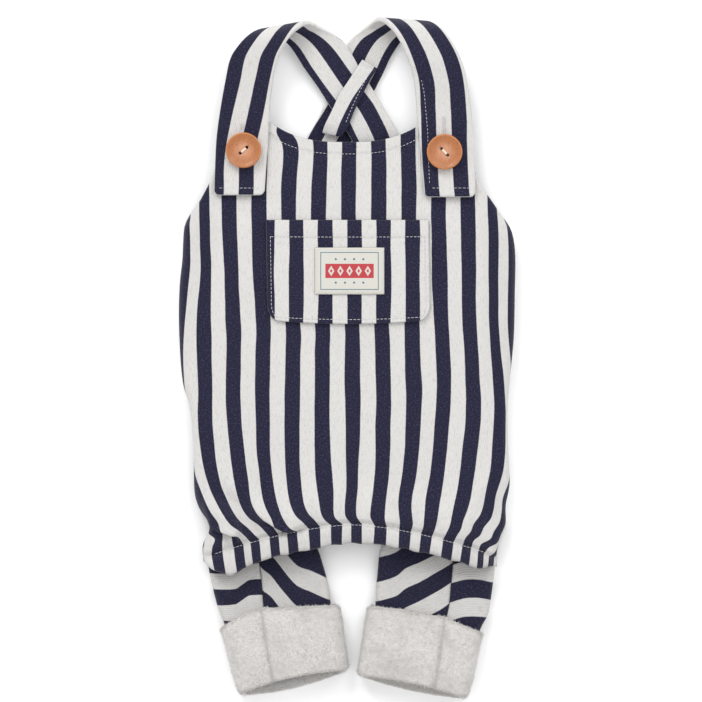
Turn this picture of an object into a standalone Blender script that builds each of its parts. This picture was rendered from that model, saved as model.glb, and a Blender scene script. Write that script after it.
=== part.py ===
"""Small bib dungarees in striped cotton, laid out flat: the body, bib, crossed straps and cuffed legs.

Millimetres in the tables, metres in the scene. +X is the right-hand side as one looks down on the bib,
+Y runs from the cuffs to the straps, +Z is up from the surface that the garment lies on.
"""
import math

import bmesh
import bpy
from mathutils import Vector

MM = 0.001

# Cloth and seams
CLOTH = 2.0             # brushed cotton wall
LEG_CLOTH = 1.6
SEAM = 0.3              # clearance between sewn pieces
STRAP_CLOTH = 3.0       # double layer of the straps
KEEPER_CLOTH = 2.0
HEM_CLOTH = 3.0         # casing with its elastic
POCKET_CLOTH = 1.6
LABEL_CLOTH = 1.0
CUFF_CLOTH = 2.8        # fleece turn-up
MERGE = 0.00001         # points closer than this, in metres, are one

# Body: rows up the garment; half sections are measured to the outside of the cloth
BODY_COLUMNS = ("y", "left", "right", "top", "fold", "wrap")
BODY_ROWS = (
    (-124.0, -77.0, 82.0, 12.4, 5.8, 0.5),
    (-111.0, -78.2, 83.6, 12.8, 6.0, 0.62),
    (-98.0, -79.8, 85.8, 13.6, 6.2, 1.0),
    (-85.0, -81.0, 87.6, 16.0, 6.8, 1.0),
    (-72.0, -83.2, 89.6, 17.2, 7.0, 1.0),
    (-46.0, -84.6, 88.6, 17.8, 7.0, 1.0),
    (-26.0, -86.4, 88.4, 18.0, 7.0, 1.0),
    (-12.0, -89.6, 89.4, 18.0, 7.0, 1.0),
    (14.0, -91.6, 91.8, 18.0, 7.0, 1.0),
    (40.0, -92.4, 92.8, 17.6, 7.0, 1.0),
    (56.0, -90.8, 93.0, 16.6, 7.0, 1.0),
    (67.0, -89.8, 92.0, 15.8, 7.0, 1.0),
    (74.0, -89.6, 90.4, 15.2, 6.9, 0.92),
    (80.0, -87.0, 86.0, 14.6, 6.6, 0.55),
    (87.0, -81.8, 81.4, 13.8, 6.2, 0.22),
    (93.0, -78.6, 77.0, 13.2, 5.9, 0.08),
    (100.0, -75.2, 72.6, 12.6, 5.6, 0.0),
    (112.0, -70.6, 69.4, 11.8, 5.3, 0.0),
    (122.0, -67.8, 67.0, 11.4, 5.1, 0.0),
    (136.0, -66.0, 65.6, 11.4, 5.1, 0.0),
)

# Neckline, stitch line of the hem and the hem's depth
NECK_Y = 120.0
NECK_RISE = 9.3         # rise of the neckline where it meets the straps
NECK_HALF = 40.4
NECK_POWER = 2.7
BIB_TOP = 134.0         # square corners of the bib, under the straps
HEM_X = 3.0             # middle of the hem's arch
HEM_Y = -89.0
HEM_FALL = 17.0
HEM_HALF = 78.0
HEM_POWER = 1.6
HEM_DEPTH = 10.4
HEM_DROPS = ((-30.0, 25.0, 1.6), (-63.0, 12.0, 4.2))    # where, over what width and how far it hangs lower
HEM_END = 66.0          # the casing narrows from here to its ends
HEM_END_LENGTH = 14.0
HEM_END_RISE = 4.5
HEM_FLATTEN = 0.4       # share of a gather's height that is lost across the casing

# Gathers over the hem's elastic: each is a ridge that starts at the stitch line and dies out up the panel
GATHER_COLUMNS = ("x", "lean", "reach", "width", "height")
GATHER_ROWS = (
    (-70.0, -0.28, 46.0, 4.6, 1.6),
    (-57.0, -0.62, 62.0, 5.2, 3.0),
    (-42.0, -0.58, 58.0, 4.4, 2.8),
    (-27.5, -0.40, 46.0, 4.4, 2.6),
    (-13.0, -0.22, 34.0, 3.6, 1.8),
    (0.0, -0.06, 26.0, 3.2, 1.2),
    (11.0, 0.02, 24.0, 3.2, 1.2),
    (22.0, 0.06, 26.0, 3.2, 1.4),
    (33.0, 0.10, 28.0, 3.2, 1.4),
    (43.0, 0.16, 32.0, 3.4, 1.8),
    (53.0, 0.24, 40.0, 3.6, 2.2),
    (62.5, 0.30, 44.0, 3.8, 2.2),
    (72.0, 0.24, 42.0, 3.8, 1.8),
)
GATHER_AT_SEAM = 0.35   # share of a gather's height where the elastic draws it in
GATHER_SWELL = 9.0      # distance from the stitch line to the full height
GATHER_WIDEN = 0.5      # how much wider a gather is where it dies out

# Back panel: how far its armholes cut in from the front's outline, and its straight lower edge
BACK_COLUMNS = ("y", "inset", "wrap")
BACK_ROWS = (
    (-98.0, 0.0, 1.0),
    (60.0, 0.0, 1.0),
    (66.0, 0.0, 1.0),
    (72.0, 1.8, 0.9),
    (78.0, 7.5, 0.35),
    (84.0, 15.0, 0.0),
    (92.0, 24.0, 0.0),
    (100.0, 29.0, 0.0),
    (108.0, 32.0, 0.0),
)
BACK_TOP = 107.0
BACK_LOW = -90.0

# Pocket and label
POCKET_X = 1.4
POCKET_HALF = 44.6
POCKET_TOP = 77.2
POCKET_LOW = 21.8
POCKET_CORNER = 9.0
POCKET_CORNER_WIDTH = 0.8   # width of a round corner, as a share of its height
POCKET_BOW = 1.6        # how far the lower edge bows down
POCKET_LEAN = 0.9       # the pocket's top drifts to the left
LABEL_X = 1.7
LABEL_Y = 49.2
LABEL_WIDTH = 38.0
LABEL_HEIGHT = 25.6

# Straps: the two edges of the ribbon's middle at each station, from the front end over the roll to the back.
# A height of None lies on the bib.
STRAP_LIFT = 0.45       # clearance between a strap and the bib under it
STRAP_COLUMNS = ("outer_x", "outer_y", "inner_x", "inner_y", "outer_z", "inner_z")
LEFT_STRAP = (
    (-72.5, 91.9, -44.8, 91.9, None, None),
    (-72.1, 104.0, -43.9, 104.0, None, None),
    (-71.3, 121.6, -42.7, 121.6, None, None),
    (-69.3, 137.0, -41.8, 137.0, 13.4, 13.4),
    (-66.5, 152.4, -39.9, 153.5, 15.8, 16.0),
    (-63.5, 165.6, -36.6, 166.7, 18.2, 19.4),
    (-58.4, 173.0, -32.2, 174.9, 18.8, 20.8),
    (-53.2, 177.8, -27.2, 180.8, 17.2, 19.6),
    (-46.8, 180.8, -20.6, 185.4, 12.2, 13.6),
    (-41.8, 180.4, -13.8, 182.9, 6.8, 7.6),
    (-36.0, 177.1, -7.4, 179.6, 5.3, 5.4),
    (-30.3, 171.6, -1.7, 175.2, 5.1, 5.1),
    (-23.2, 160.6, 3.2, 167.6, 5.1, 5.1),
    (-15.4, 149.6, 7.9, 158.4, 5.1, 5.1),
    (-10.5, 141.9, 12.8, 150.5, 5.1, 5.1),
    (-3.9, 131.7, 19.5, 139.0, 5.1, 5.1),
    (3.4, 120.6, 26.9, 124.6, 5.1, 5.0),
    (8.3, 110.8, 33.0, 110.8, 3.9, 3.9),
    (12.4, 99.4, 38.2, 99.4, 3.9, 3.9),
)
RIGHT_STRAP = (
    (70.7, 91.9, 43.6, 91.9, None, None),
    (70.4, 104.0, 43.1, 104.0, None, None),
    (69.6, 121.6, 42.0, 121.6, None, None),
    (68.5, 137.0, 41.2, 137.0, 13.4, 13.4),
    (66.3, 152.4, 40.0, 152.4, 15.8, 16.0),
    (62.9, 164.5, 36.8, 164.5, 17.8, 18.8),
    (57.8, 174.4, 31.6, 175.3, 17.6, 19.6),
    (52.2, 181.4, 26.1, 182.6, 15.6, 18.2),
    (45.2, 185.2, 19.6, 187.0, 10.0, 11.6),
    (39.6, 184.0, 13.6, 184.4, 4.4, 4.8),
    (34.3, 180.0, 8.0, 180.6, 2.2, 2.3),
    (29.8, 175.2, 2.9, 176.9, 1.7, 1.7),
    (24.6, 167.2, -1.6, 169.6, 1.7, 1.7),
    (20.4, 158.4, -5.0, 158.4, 1.7, 1.7),
    (15.4, 148.5, -8.9, 147.8, 1.7, 1.7),
    (8.8, 136.4, -14.2, 135.9, 1.7, 1.7),
    (0.6, 124.0, -20.6, 124.0, 1.7, 1.7),
    (-3.6, 116.0, -24.8, 116.0, 2.7, 2.7),
    (-6.8, 109.6, -28.2, 109.6, 3.9, 3.9),
    (-11.0, 99.4, -33.0, 99.4, 3.9, 3.9),
)
KEEPER = (
    (9.2, 167.9, 17.9, 163.0, 4.7, 4.7),
    (8.4, 166.4, 17.2, 161.5, 5.2, 5.2),
    (7.2, 164.4, 16.2, 159.6, 7.7, 7.7),
    (5.0, 161.0, 14.4, 156.4, 8.3, 8.3),
    (0.6, 154.0, 11.0, 150.2, 8.3, 8.3),
    (-3.9, 146.3, 7.2, 143.0, 8.3, 8.3),
    (-8.2, 137.0, 3.9, 135.9, 8.3, 8.3),
    (-11.4, 130.6, 1.2, 129.2, 8.2, 8.3),
    (-13.4, 126.2, -1.6, 123.4, 6.6, 7.6),
    (-14.4, 123.2, -3.2, 120.6, 5.2, 6.2),
)

# Buttons
BUTTON_PROFILE = (      # radius and height, from the middle of the dished face over the rim to the underside
    (0.0, 3.1),
    (5.7, 3.1),
    (7.35, 3.65),
    (7.9, 4.05),
    (8.9, 4.2),
    (9.6, 3.7),
    (10.1, 2.5),
    (9.7, 1.05),
    (8.1, 0.0),
    (0.0, 0.0),
)
BUTTON_RADIUS = 10.1
BUTTON_HOLE = 1.0       # radius of a thread hole
BUTTON_HOLE_DEPTH = 12.6
BUTTON_HOLE_STEP = 3.4  # distance between the two holes
STRAP_INNER_X = 43.0    # inner edge of a strap beside its button
BUTTONS = {"button_left": (-56.7, 116.0, 20.0), "button_right": (54.2, 115.5, -25.0)}

# Legs: the outer and inner edge at each station, from inside the body to inside the cuff
LEG_COLUMNS = ("outer_x", "outer_y", "inner_x", "inner_y", "floor", "height")
LEFT_LEG = (
    (-76.4, -90.4, -19.0, -90.4, 0.0, 8.0),
    (-76.2, -104.0, -17.4, -99.0, 0.0, 8.0),
    (-75.6, -114.0, -15.4, -106.0, 0.0, 8.4),
    (-72.8, -127.0, -12.4, -116.0, 0.0, 9.2),
    (-69.9, -137.5, -10.0, -124.8, 0.5, 9.2),
    (-64.7, -145.0, -8.7, -132.4, 3.4, 8.0),
    (-61.0, -159.0, -6.4, -146.6, 3.4, 8.0),
)
RIGHT_LEG = (
    (81.4, -90.4, 21.0, -90.4, 0.0, 8.0),
    (81.6, -104.0, 19.8, -99.0, 0.0, 8.0),
    (81.6, -113.0, 18.0, -106.0, 0.0, 8.4),
    (79.8, -127.0, 15.0, -117.0, 0.0, 9.2),
    (77.9, -138.5, 13.6, -125.2, 0.5, 9.2),
    (72.4, -146.8, 15.9, -132.8, 3.4, 8.0),
    (69.2, -161.0, 14.2, -147.4, 3.4, 8.0),
)
LEG_SEAM = {"left": (0.5, 9.5), "right": (8.0, 10.5)}   # seam's shift outwards, at the hem and the cuff
LEG_FRONT_CUT = 9.0     # the front of a leg starts this much lower than its back, under the hem

# Cuffs: the outer and inner edge at the top and at the open end
LEFT_CUFF = (
    (-69.2, -145.6, -3.4, -133.2, 0.0, 15.4),
    (-65.9, -159.0, -1.6, -146.8, 0.0, 16.6),
    (-62.2, -173.0, 0.2, -160.4, 0.0, 16.6),
    (-58.4, -187.0, 1.6, -174.4, 0.0, 15.4),
)
RIGHT_CUFF = (
    (77.2, -147.4, 11.6, -133.6, 0.0, 15.4),
    (74.3, -161.0, 9.4, -147.4, 0.0, 16.6),
    (70.8, -175.0, 7.4, -161.6, 0.0, 16.6),
    (66.6, -189.0, 5.2, -175.8, 0.0, 15.4),
)
CUFF_SLANT = 5.6        # the back of a cuff shows this far past its front

FLAT_SHARE = 24 / 29    # share of the front's columns that lies between the side folds
BACK_FLAT_SHARE = 8 / 13
FOLD_BAND = 12.0        # length of cloth beside each edge that has the closer columns
SEAM_STRAIGHT = 2.5     # upright stretch of each side fold beside its seam
SEAM_SHARE = 0.7        # share of the clearance that each panel leaves at a side seam

# Mesh density
FRONT_PLAN = ((9, 0.25), (5, 0.74), (6, 0.92), (1, 1.0))     # rows up to each share of the height
BACK_PLAN = ((6, 0.76), (7, 1.0))
POCKET_PLAN = ((4, 0.16), (6, 1.0))
FRONT_GRID = (58, 21)
BACK_GRID = (26, 13)
HEM_GRID = (58, 3)
POCKET_GRID = (14, 10)
LABEL_GRID = (4, 3)
STRAP_GRID = (2, 44)
KEEPER_GRID = (2, 14)
LEG_GRID = (12, 9)
CUFF_GRID = (32, 5)
TURNED_STEPS = 24

COLOURS = {
    "navy stripe cotton": ((0.022, 0.020, 0.065), 0.9),
    "white stripe cotton": ((0.80, 0.77, 0.72), 0.9),
    "white fleece": ((0.76, 0.73, 0.69), 0.95),
    "label cloth": ((0.84, 0.82, 0.77), 0.8),
    "button wood": ((0.55, 0.22, 0.08), 0.35),
}


def rows_as_dicts(columns, rows):
    """Give each row of a table its column names."""
    return [dict(zip(columns, row)) for row in rows]


def curve_value(places, values, at):
    """A smooth curve through a table's values, held level past its ends."""
    if at <= places[0]:
        return values[0]
    if at >= places[-1]:
        return values[-1]
    k = 0
    while places[k + 1] < at:
        k += 1
    span = places[k + 1] - places[k]
    slopes = []
    for i in (k, k + 1):
        before, after = max(i - 1, 0), min(i + 1, len(places) - 1)
        slopes.append((values[after] - values[before]) / (places[after] - places[before]))
    t = (at - places[k]) / span
    rise = values[k + 1] - values[k]
    a = slopes[0] * span - rise
    b = rise - slopes[1] * span
    return values[k] + t * rise + t * (1 - t) * ((1 - t) * a + t * b)


def table_curve(rows, column, place):
    """Read one column of a table as a curve over another column."""
    places = [row[place] for row in rows]
    values = [row[column] for row in rows]
    return lambda at: curve_value(places, values, at)


def ease(t):
    """Smooth step from 0 to 1."""
    t = min(max(t, 0.0), 1.0)
    return t * t * (3 - 2 * t)


BODY = rows_as_dicts(BODY_COLUMNS, BODY_ROWS)
BODY_CURVES = {name: table_curve(BODY, name, "y") for name in BODY_COLUMNS[1:]}
GATHERS = rows_as_dicts(GATHER_COLUMNS, GATHER_ROWS)
BACK = rows_as_dicts(BACK_COLUMNS, BACK_ROWS)
BACK_CURVES = {name: table_curve(BACK, name, "y") for name in BACK_COLUMNS[1:]}


def row_place(v, plan):
    """Share of the height at an even place v, where the plan gives the number of rows up to each share."""
    row = v * sum(count for count, share in plan)
    start = 0.0
    for count, share in plan:
        if row <= count:
            return start + (share - start) * row / count
        row -= count
        start = share
    return 1.0


def neck_edge(x):
    """Top edge of the bib: a shallow scoop, then the square corners."""
    rise = NECK_RISE * (abs(x) / NECK_HALF) ** NECK_POWER
    return min(NECK_Y + rise, BIB_TOP)


def hem_edge(x):
    """Stitch line over the casing."""
    return HEM_Y - HEM_FALL * (abs(x - HEM_X) / HEM_HALF) ** HEM_POWER


def hem_low(x):
    """Lower edge of the casing."""
    drops = sum(drop * math.exp(-((x - place) / width) ** 2) for place, width, drop in HEM_DROPS)
    end = HEM_END_RISE * ease((abs(x - HEM_X) - HEM_END) / HEM_END_LENGTH)
    return hem_edge(x) - HEM_DEPTH - drops + end


def gather_height(x, y):
    """Height that the gathers add at a place on the front."""
    up = y - hem_edge(x)
    swell = GATHER_AT_SEAM + (1 - GATHER_AT_SEAM) * ease(up / GATHER_SWELL)
    total = 0.0
    for g in GATHERS:
        fade = 1 - ease(up / g["reach"])
        middle = g["x"] + g["lean"] * max(up, 0.0)
        spread = g["width"] * (1 + GATHER_WIDEN * max(up, 0.0) / g["reach"])
        total += g["height"] * fade * math.exp(-((x - middle) / spread) ** 2)
    return total * swell


def side_fold(fold, wrap):
    """Radius of a side fold's bend, length of its upright stretch and the angle that it turns through."""
    share = min(max(wrap, 0.0), 1.0)
    straight = SEAM_STRAIGHT * share
    return fold - straight, straight, share * math.pi / 2


def half_path(u, half, fold, wrap, flat_share):
    """Place on half a section, u from 0 in the middle to 1 at the seam: outwards, drop, uprightness."""
    radius, straight, turn = side_fold(fold, wrap)
    flat = half - radius * math.sin(turn) - straight * math.cos(turn)
    length = flat + radius * turn + straight - SEAM * SEAM_SHARE * turn / (math.pi / 2)
    if u <= flat_share:
        d = u / flat_share * (length - FOLD_BAND)
    else:
        d = length - FOLD_BAND * (1 - u) / (1 - flat_share)
    if d <= flat:
        return d, 0.0, 1.0
    angle = min((d - flat) / radius, turn)
    on = max(d - flat - radius * turn, 0.0)
    out = flat + radius * math.sin(angle) + on * math.cos(turn)
    return out, radius * (1 - math.cos(angle)) + on * math.sin(turn), math.cos(angle)


def crown(out, half, fold, wrap, top):
    """Height of the front over the side folds' tops, at a distance from its middle."""
    radius, straight, turn = side_fold(fold, wrap)
    flat = half - radius * math.sin(turn) - straight * math.cos(turn)
    share = max(1 - (out / flat) ** 2, 0.0)
    return (top - 2 * fold) * share * share


def front_section(u, y):
    """Point of the front's outer surface: a flat crown in the middle, rolled round the side folds."""
    left, right, top, fold, wrap = (BODY_CURVES[name](y) for name in BODY_COLUMNS[1:])
    half = (right - left) / 2
    out, drop, upright = half_path(abs(u), half, fold, wrap, FLAT_SHARE)
    x = (left + right) / 2 + math.copysign(out, u)
    return x, 2 * fold - drop + crown(out, half, fold, wrap, top), upright


def front_height(x, y):
    """Height of the front's outer surface over a place in plan, short of the side folds."""
    left, right, top, fold, wrap = (BODY_CURVES[name](y) for name in BODY_COLUMNS[1:])
    out = abs(x - (left + right) / 2)
    return 2 * fold + crown(out, (right - left) / 2, fold, wrap, top) + gather_height(x, y)


def front_point(u, v):
    """Front panel, from the casing's stitch line (v = 0) to the neckline (v = 1)."""
    v = row_place(v, FRONT_PLAN)
    low_x = front_section(u, HEM_Y - HEM_FALL / 2)[0]
    high_x = front_section(u, NECK_Y)[0]
    y = (1 - v) * hem_edge(low_x) + v * neck_edge(high_x)
    x, z, upright = front_section(u, y)
    return x, y, z + gather_height(x, y) * upright


def hem_point(u, v):
    """Casing of the elastic hem, below the front panel."""
    x = front_section(u, HEM_Y - HEM_FALL / 2)[0]
    start = hem_edge(x) - 2 * SEAM
    y = start + v * (hem_low(x) - start)
    x, z, upright = front_section(u, y)
    return x, y, z + gather_height(x, hem_edge(x)) * upright * (1 - HEM_FLATTEN * v)


def back_point(u, v):
    """Back panel's outer surface: flat on the floor, turned up at the side folds to meet the front."""
    y = BACK_LOW + row_place(v, BACK_PLAN) * (BACK_TOP - BACK_LOW)
    left, right = BODY_CURVES["left"](y), BODY_CURVES["right"](y)
    half = (right - left) / 2 - BACK_CURVES["inset"](y)
    out, rise, upright = half_path(abs(u), half, BODY_CURVES["fold"](y), BACK_CURVES["wrap"](y),
                                   BACK_FLAT_SHARE)
    return (left + right) / 2 + math.copysign(out, u), y, rise


def pocket_point(u, v):
    """Outer face of the patch pocket with round lower corners, laid on the front."""
    v = row_place(v, POCKET_PLAN)
    x, y = u * POCKET_HALF, POCKET_LOW + v * (POCKET_TOP - POCKET_LOW)
    rise = y - POCKET_LOW
    if rise < POCKET_CORNER:
        cut = POCKET_CORNER - math.sqrt(POCKET_CORNER ** 2 - (POCKET_CORNER - rise) ** 2)
        x = u * (POCKET_HALF - cut * POCKET_CORNER_WIDTH)
    x += POCKET_X - POCKET_LEAN * v
    y -= POCKET_BOW * (1 - u * u) * (1 - v)
    return x, y, front_height(x, y) + SEAM + POCKET_CLOTH


def label_point(u, v):
    """Outer face of the label in the middle of the pocket."""
    x = LABEL_X + u * LABEL_WIDTH / 2
    y = LABEL_Y + (v - 0.5) * LABEL_HEIGHT
    return x, y, front_height(x, y) + 2 * SEAM + POCKET_CLOTH + LABEL_CLOTH


def strap_seat(inner_x, y):
    """Middle of a strap where it lies on the bib."""
    return front_height(inner_x, y) + STRAP_LIFT + STRAP_CLOTH / 2


def ribbon_point(rows, columns):
    """A ribbon ruled between two edge curves; u runs across it and v along it."""
    table = rows_as_dicts(columns, rows)
    for row in table:
        if row["outer_z"] is None:
            row["outer_z"] = row["inner_z"] = strap_seat(row["inner_x"], row["inner_y"])
    run = [0.0]
    for a, b in zip(table, table[1:]):
        step = [(b[k] + b[m] - a[k] - a[m]) / 2 for k, m in
                (("outer_x", "inner_x"), ("outer_y", "inner_y"), ("outer_z", "inner_z"))]
        run.append(run[-1] + math.sqrt(sum(s * s for s in step)))
    for row, place in zip(table, run):
        row["run"] = place
    curves = {name: table_curve(table, name, "run") for name in columns}

    def point(u, v):
        at = v * run[-1]
        t = (u + 1) / 2
        outer = Vector([curves["outer_" + axis](at) for axis in "xyz"])
        inner = Vector([curves["inner_" + axis](at) for axis in "xyz"])
        return outer.lerp(inner, t)

    return point


def tube_station(rows, at):
    """The two edges, floor and height of a flattened tube at a place from 0 to 1 along it."""
    table = rows_as_dicts(LEG_COLUMNS, rows)
    places = [i / (len(table) - 1) for i in range(len(table))]
    return {name: curve_value(places, [row[name] for row in table], at) for name in LEG_COLUMNS}


def tube_section(station, turn):
    """Place on a flattened tube: turn 0 is mid front, 0.25 the outer fold, 0.5 mid back."""
    outer = Vector((station["outer_x"], station["outer_y"]))
    inner = Vector((station["inner_x"], station["inner_y"]))
    middle, along = (outer + inner) / 2, (outer - inner) / 2
    half = along.length
    across = along.normalized()
    fold = station["height"] / 2
    flat = half - fold
    perimeter = 4 * flat + 2 * math.pi * fold
    d = (turn % 1.0) * perimeter
    side = 1
    if d > perimeter / 2:
        d, side = perimeter - d, -1
    if d < flat:
        x, z = d, fold
    elif d < flat + math.pi * fold:
        angle = (d - flat) / fold
        x, z = flat + fold * math.sin(angle), fold * math.cos(angle)
    else:
        x, z = perimeter / 2 - d, -fold
    place = middle + across * (side * x)
    return place.x, place.y, station["floor"] + station["height"] / 2 + z


def seam_turn(station, offset):
    """Turn of a seam that lies an offset from the middle of the front, and half its clearance as a turn."""
    outer = Vector((station["outer_x"], station["outer_y"]))
    inner = Vector((station["inner_x"], station["inner_y"]))
    fold = station["height"] / 2
    perimeter = 4 * ((outer - inner).length / 2 - fold) + 2 * math.pi * fold
    return offset / perimeter, SEAM / 2 / perimeter


def leg_point(rows, offsets, outer_side):
    """One of a leg's two panels, from its front seam round the fold to its back seam."""
    length = abs(rows[0][1] - rows[-1][1])

    def point(u, v):
        offset = offsets[0] + v * (offsets[1] - offsets[0])
        seam, gap = seam_turn(tube_station(rows, v), offset)
        first, last = (seam + gap, 0.5 - seam - gap) if outer_side else (seam - gap, -0.5 - seam + gap)
        turn = first + (u + 1) / 2 * (last - first)
        front = (1 + math.cos(2 * math.pi * turn)) / 2
        at = v + LEG_FRONT_CUT / length * front * (1 - v)
        return tube_section(tube_station(rows, at), turn)

    return point


def cuff_point(rows):
    """A cuff: a closed ring whose back reaches past its front."""

    def point(u, v):
        turn = (u + 1) / 2
        front = (1 + math.cos(2 * math.pi * turn)) / 2
        length = abs(rows[0][1] - rows[-1][1])
        at = v * (1 - CUFF_SLANT / length * front)
        return tube_section(tube_station(rows, at), turn)

    return point


def material(name):
    """A plain Principled material in one of the garment's colours."""
    if name in bpy.data.materials:
        return bpy.data.materials[name]
    colour, roughness = COLOURS[name]
    made = bpy.data.materials.new(name)
    made.use_nodes = True
    shader = made.node_tree.nodes["Principled BSDF"]
    shader.inputs["Base Color"].default_value = (*colour, 1.0)
    shader.inputs["Roughness"].default_value = roughness
    shader.inputs["Metallic"].default_value = 0.0
    return made


def add_object(name, bm, parts, finish):
    """Put a bmesh in the scene as a named part."""
    mesh = bpy.data.meshes.new(name)
    bm.to_mesh(mesh)
    bm.free()
    piece = bpy.data.objects.new(name, mesh)
    parts.objects.link(piece)
    mesh.materials.append(material(finish))
    mesh.shade_smooth()
    return piece


def cloth(name, grid, point, wall, parts, finish, closed=False, flip=False, inwards=True):
    """Lay a grid of cloth along a surface and give it a wall, from its outer face or about its middle."""
    bm = bmesh.new()
    bmesh.ops.create_grid(bm, x_segments=grid[0], y_segments=grid[1], size=1.0)
    for vert in bm.verts:
        vert.co = Vector(point(vert.co.x, (vert.co.y + 1) / 2)) * MM
    if closed:
        bmesh.ops.remove_doubles(bm, verts=bm.verts, dist=MERGE)
    if flip:
        bmesh.ops.reverse_faces(bm, faces=bm.faces)
    piece = add_object(name, bm, parts, finish)
    wall_maker = piece.modifiers.new("wall", "SOLIDIFY")
    wall_maker.thickness = wall * MM
    wall_maker.offset = -1.0 if inwards else 0.0
    wall_maker.use_even_offset = True
    return piece


def add_button(name, place, parts, cutters):
    """A turned wooden button with a dished face and two thread holes."""
    x, y, turn = place
    bm = bmesh.new()
    points = [bm.verts.new(Vector((r, 0.0, z)) * MM) for r, z in BUTTON_PROFILE]
    for a, b in zip(points, points[1:]):
        bm.edges.new((a, b))
    piece = add_object(name, bm, parts, "button wood")
    seat = strap_seat(math.copysign(STRAP_INNER_X, x), y - BUTTON_RADIUS) + STRAP_CLOTH / 2 + SEAM
    piece.location = Vector((x, y, seat)) * MM
    piece.rotation_euler = (0.0, 0.0, math.radians(turn))
    screw = piece.modifiers.new("turned", "SCREW")
    screw.steps = screw.render_steps = TURNED_STEPS
    screw.use_merge_vertices = True
    screw.merge_threshold = MERGE
    for side in (-1, 1):
        hole = bmesh.new()
        bmesh.ops.create_cone(hole, cap_ends=True, segments=10, radius1=BUTTON_HOLE * MM,
                              radius2=BUTTON_HOLE * MM, depth=BUTTON_HOLE_DEPTH * MM)
        cutter = add_object(f"{name}_hole_{side}", hole, cutters, "button wood")
        cutter.parent = piece
        cutter.location = Vector((side * BUTTON_HOLE_STEP / 2, 0.0, 0.0)) * MM
        cutter.hide_render = True
        cutter.display_type = "WIRE"
        cut = piece.modifiers.new("thread hole", "BOOLEAN")
        cut.operation = "DIFFERENCE"
        cut.object = cutter
    return piece


def build_body(parts):
    """Front, back and the gathered casing."""
    cloth("front_panel", FRONT_GRID, front_point, CLOTH, parts, "white stripe cotton")
    cloth("front_hem", HEM_GRID, hem_point, HEM_CLOTH, parts, "navy stripe cotton", flip=True)
    cloth("back_panel", BACK_GRID, back_point, CLOTH, parts, "navy stripe cotton", flip=True)


def build_pocket(parts):
    """Pocket and its label."""
    cloth("pocket", POCKET_GRID, pocket_point, POCKET_CLOTH, parts, "navy stripe cotton")
    cloth("label", LABEL_GRID, label_point, LABEL_CLOTH, parts, "label cloth")


def build_straps(parts):
    """Crossed straps and the keeper over them."""
    for name, rows in (("strap_left", LEFT_STRAP), ("strap_right", RIGHT_STRAP)):
        cloth(name, STRAP_GRID, ribbon_point(rows, STRAP_COLUMNS), STRAP_CLOTH, parts, "navy stripe cotton",
              inwards=False)
    cloth("strap_keeper", KEEPER_GRID, ribbon_point(KEEPER, STRAP_COLUMNS), KEEPER_CLOTH, parts,
          "white stripe cotton", inwards=False)


def build_legs(parts):
    """Two panels and a cuff for each leg."""
    for side, leg, cuff in (("left", LEFT_LEG, LEFT_CUFF), ("right", RIGHT_LEG, RIGHT_CUFF)):
        for place, outer_side in (("outer", True), ("inner", False)):
            panel = leg_point(leg, LEG_SEAM[side], outer_side)
            cloth(f"leg_{side}_{place}", LEG_GRID, panel, LEG_CLOTH, parts,
                  "navy stripe cotton" if outer_side else "white stripe cotton",
                  flip=(side == "left") != outer_side)
        cloth(f"cuff_{side}", CUFF_GRID, cuff_point(cuff), CUFF_CLOTH, parts, "white fleece", closed=True,
              flip=side == "right")


def main():
    for old in list(bpy.data.objects):
        bpy.data.objects.remove(old, do_unlink=True)
    parts = bpy.data.collections.new("bib_dungarees")
    cutters = bpy.data.collections.new("cutters")
    for collection in (parts, cutters):
        bpy.context.scene.collection.children.link(collection)
    build_body(parts)
    build_pocket(parts)
    build_straps(parts)
    build_legs(parts)
    for name, place in BUTTONS.items():
        add_button(name, place, parts, cutters)


main()
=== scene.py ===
"""Small bib dungarees in striped cotton, laid out flat on a white table.

Tables and cloth surfaces are in millimetres, everything else in metres. +X is the right-hand side as one
looks down on the bib, +Y runs from the cuffs to the straps, +Z is up from the table.
"""
import math

import bmesh
import bpy
import numpy as np
from mathutils import Matrix, Vector


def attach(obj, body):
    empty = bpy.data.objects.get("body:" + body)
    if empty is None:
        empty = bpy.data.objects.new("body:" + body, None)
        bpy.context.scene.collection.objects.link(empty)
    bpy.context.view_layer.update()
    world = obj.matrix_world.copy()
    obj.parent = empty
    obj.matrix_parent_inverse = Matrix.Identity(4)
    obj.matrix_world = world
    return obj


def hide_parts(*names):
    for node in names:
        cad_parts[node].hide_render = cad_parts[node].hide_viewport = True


bl_info = {
    "name": "Bib Dungarees",
    "version": (1, 0, 0),
    "blender": (4, 5, 0),
    "location": "View3D > Sidebar > Dungarees",
    "description": "Small striped bib dungarees, laid out flat, with crossed straps and fleece cuffs",
    "category": "Object",
}

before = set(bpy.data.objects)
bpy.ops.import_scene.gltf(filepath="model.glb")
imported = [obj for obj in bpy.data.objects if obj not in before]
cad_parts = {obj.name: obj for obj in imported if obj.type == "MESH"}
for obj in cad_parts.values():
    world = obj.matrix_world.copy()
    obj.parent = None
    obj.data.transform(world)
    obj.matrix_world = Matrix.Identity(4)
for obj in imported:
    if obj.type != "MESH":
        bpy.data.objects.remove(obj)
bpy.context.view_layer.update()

MM = 0.001
UV_STEP = 0.1           # metres of cloth to one unit of the cloth map

# Cloth and seams, as in the part
SEAM = 0.3
STRAP_CLOTH = 3.0
POCKET_CLOTH = 1.6
LABEL_CLOTH = 1.0
SEAM_STRAIGHT = 2.5
SEAM_SHARE = 0.7

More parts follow.
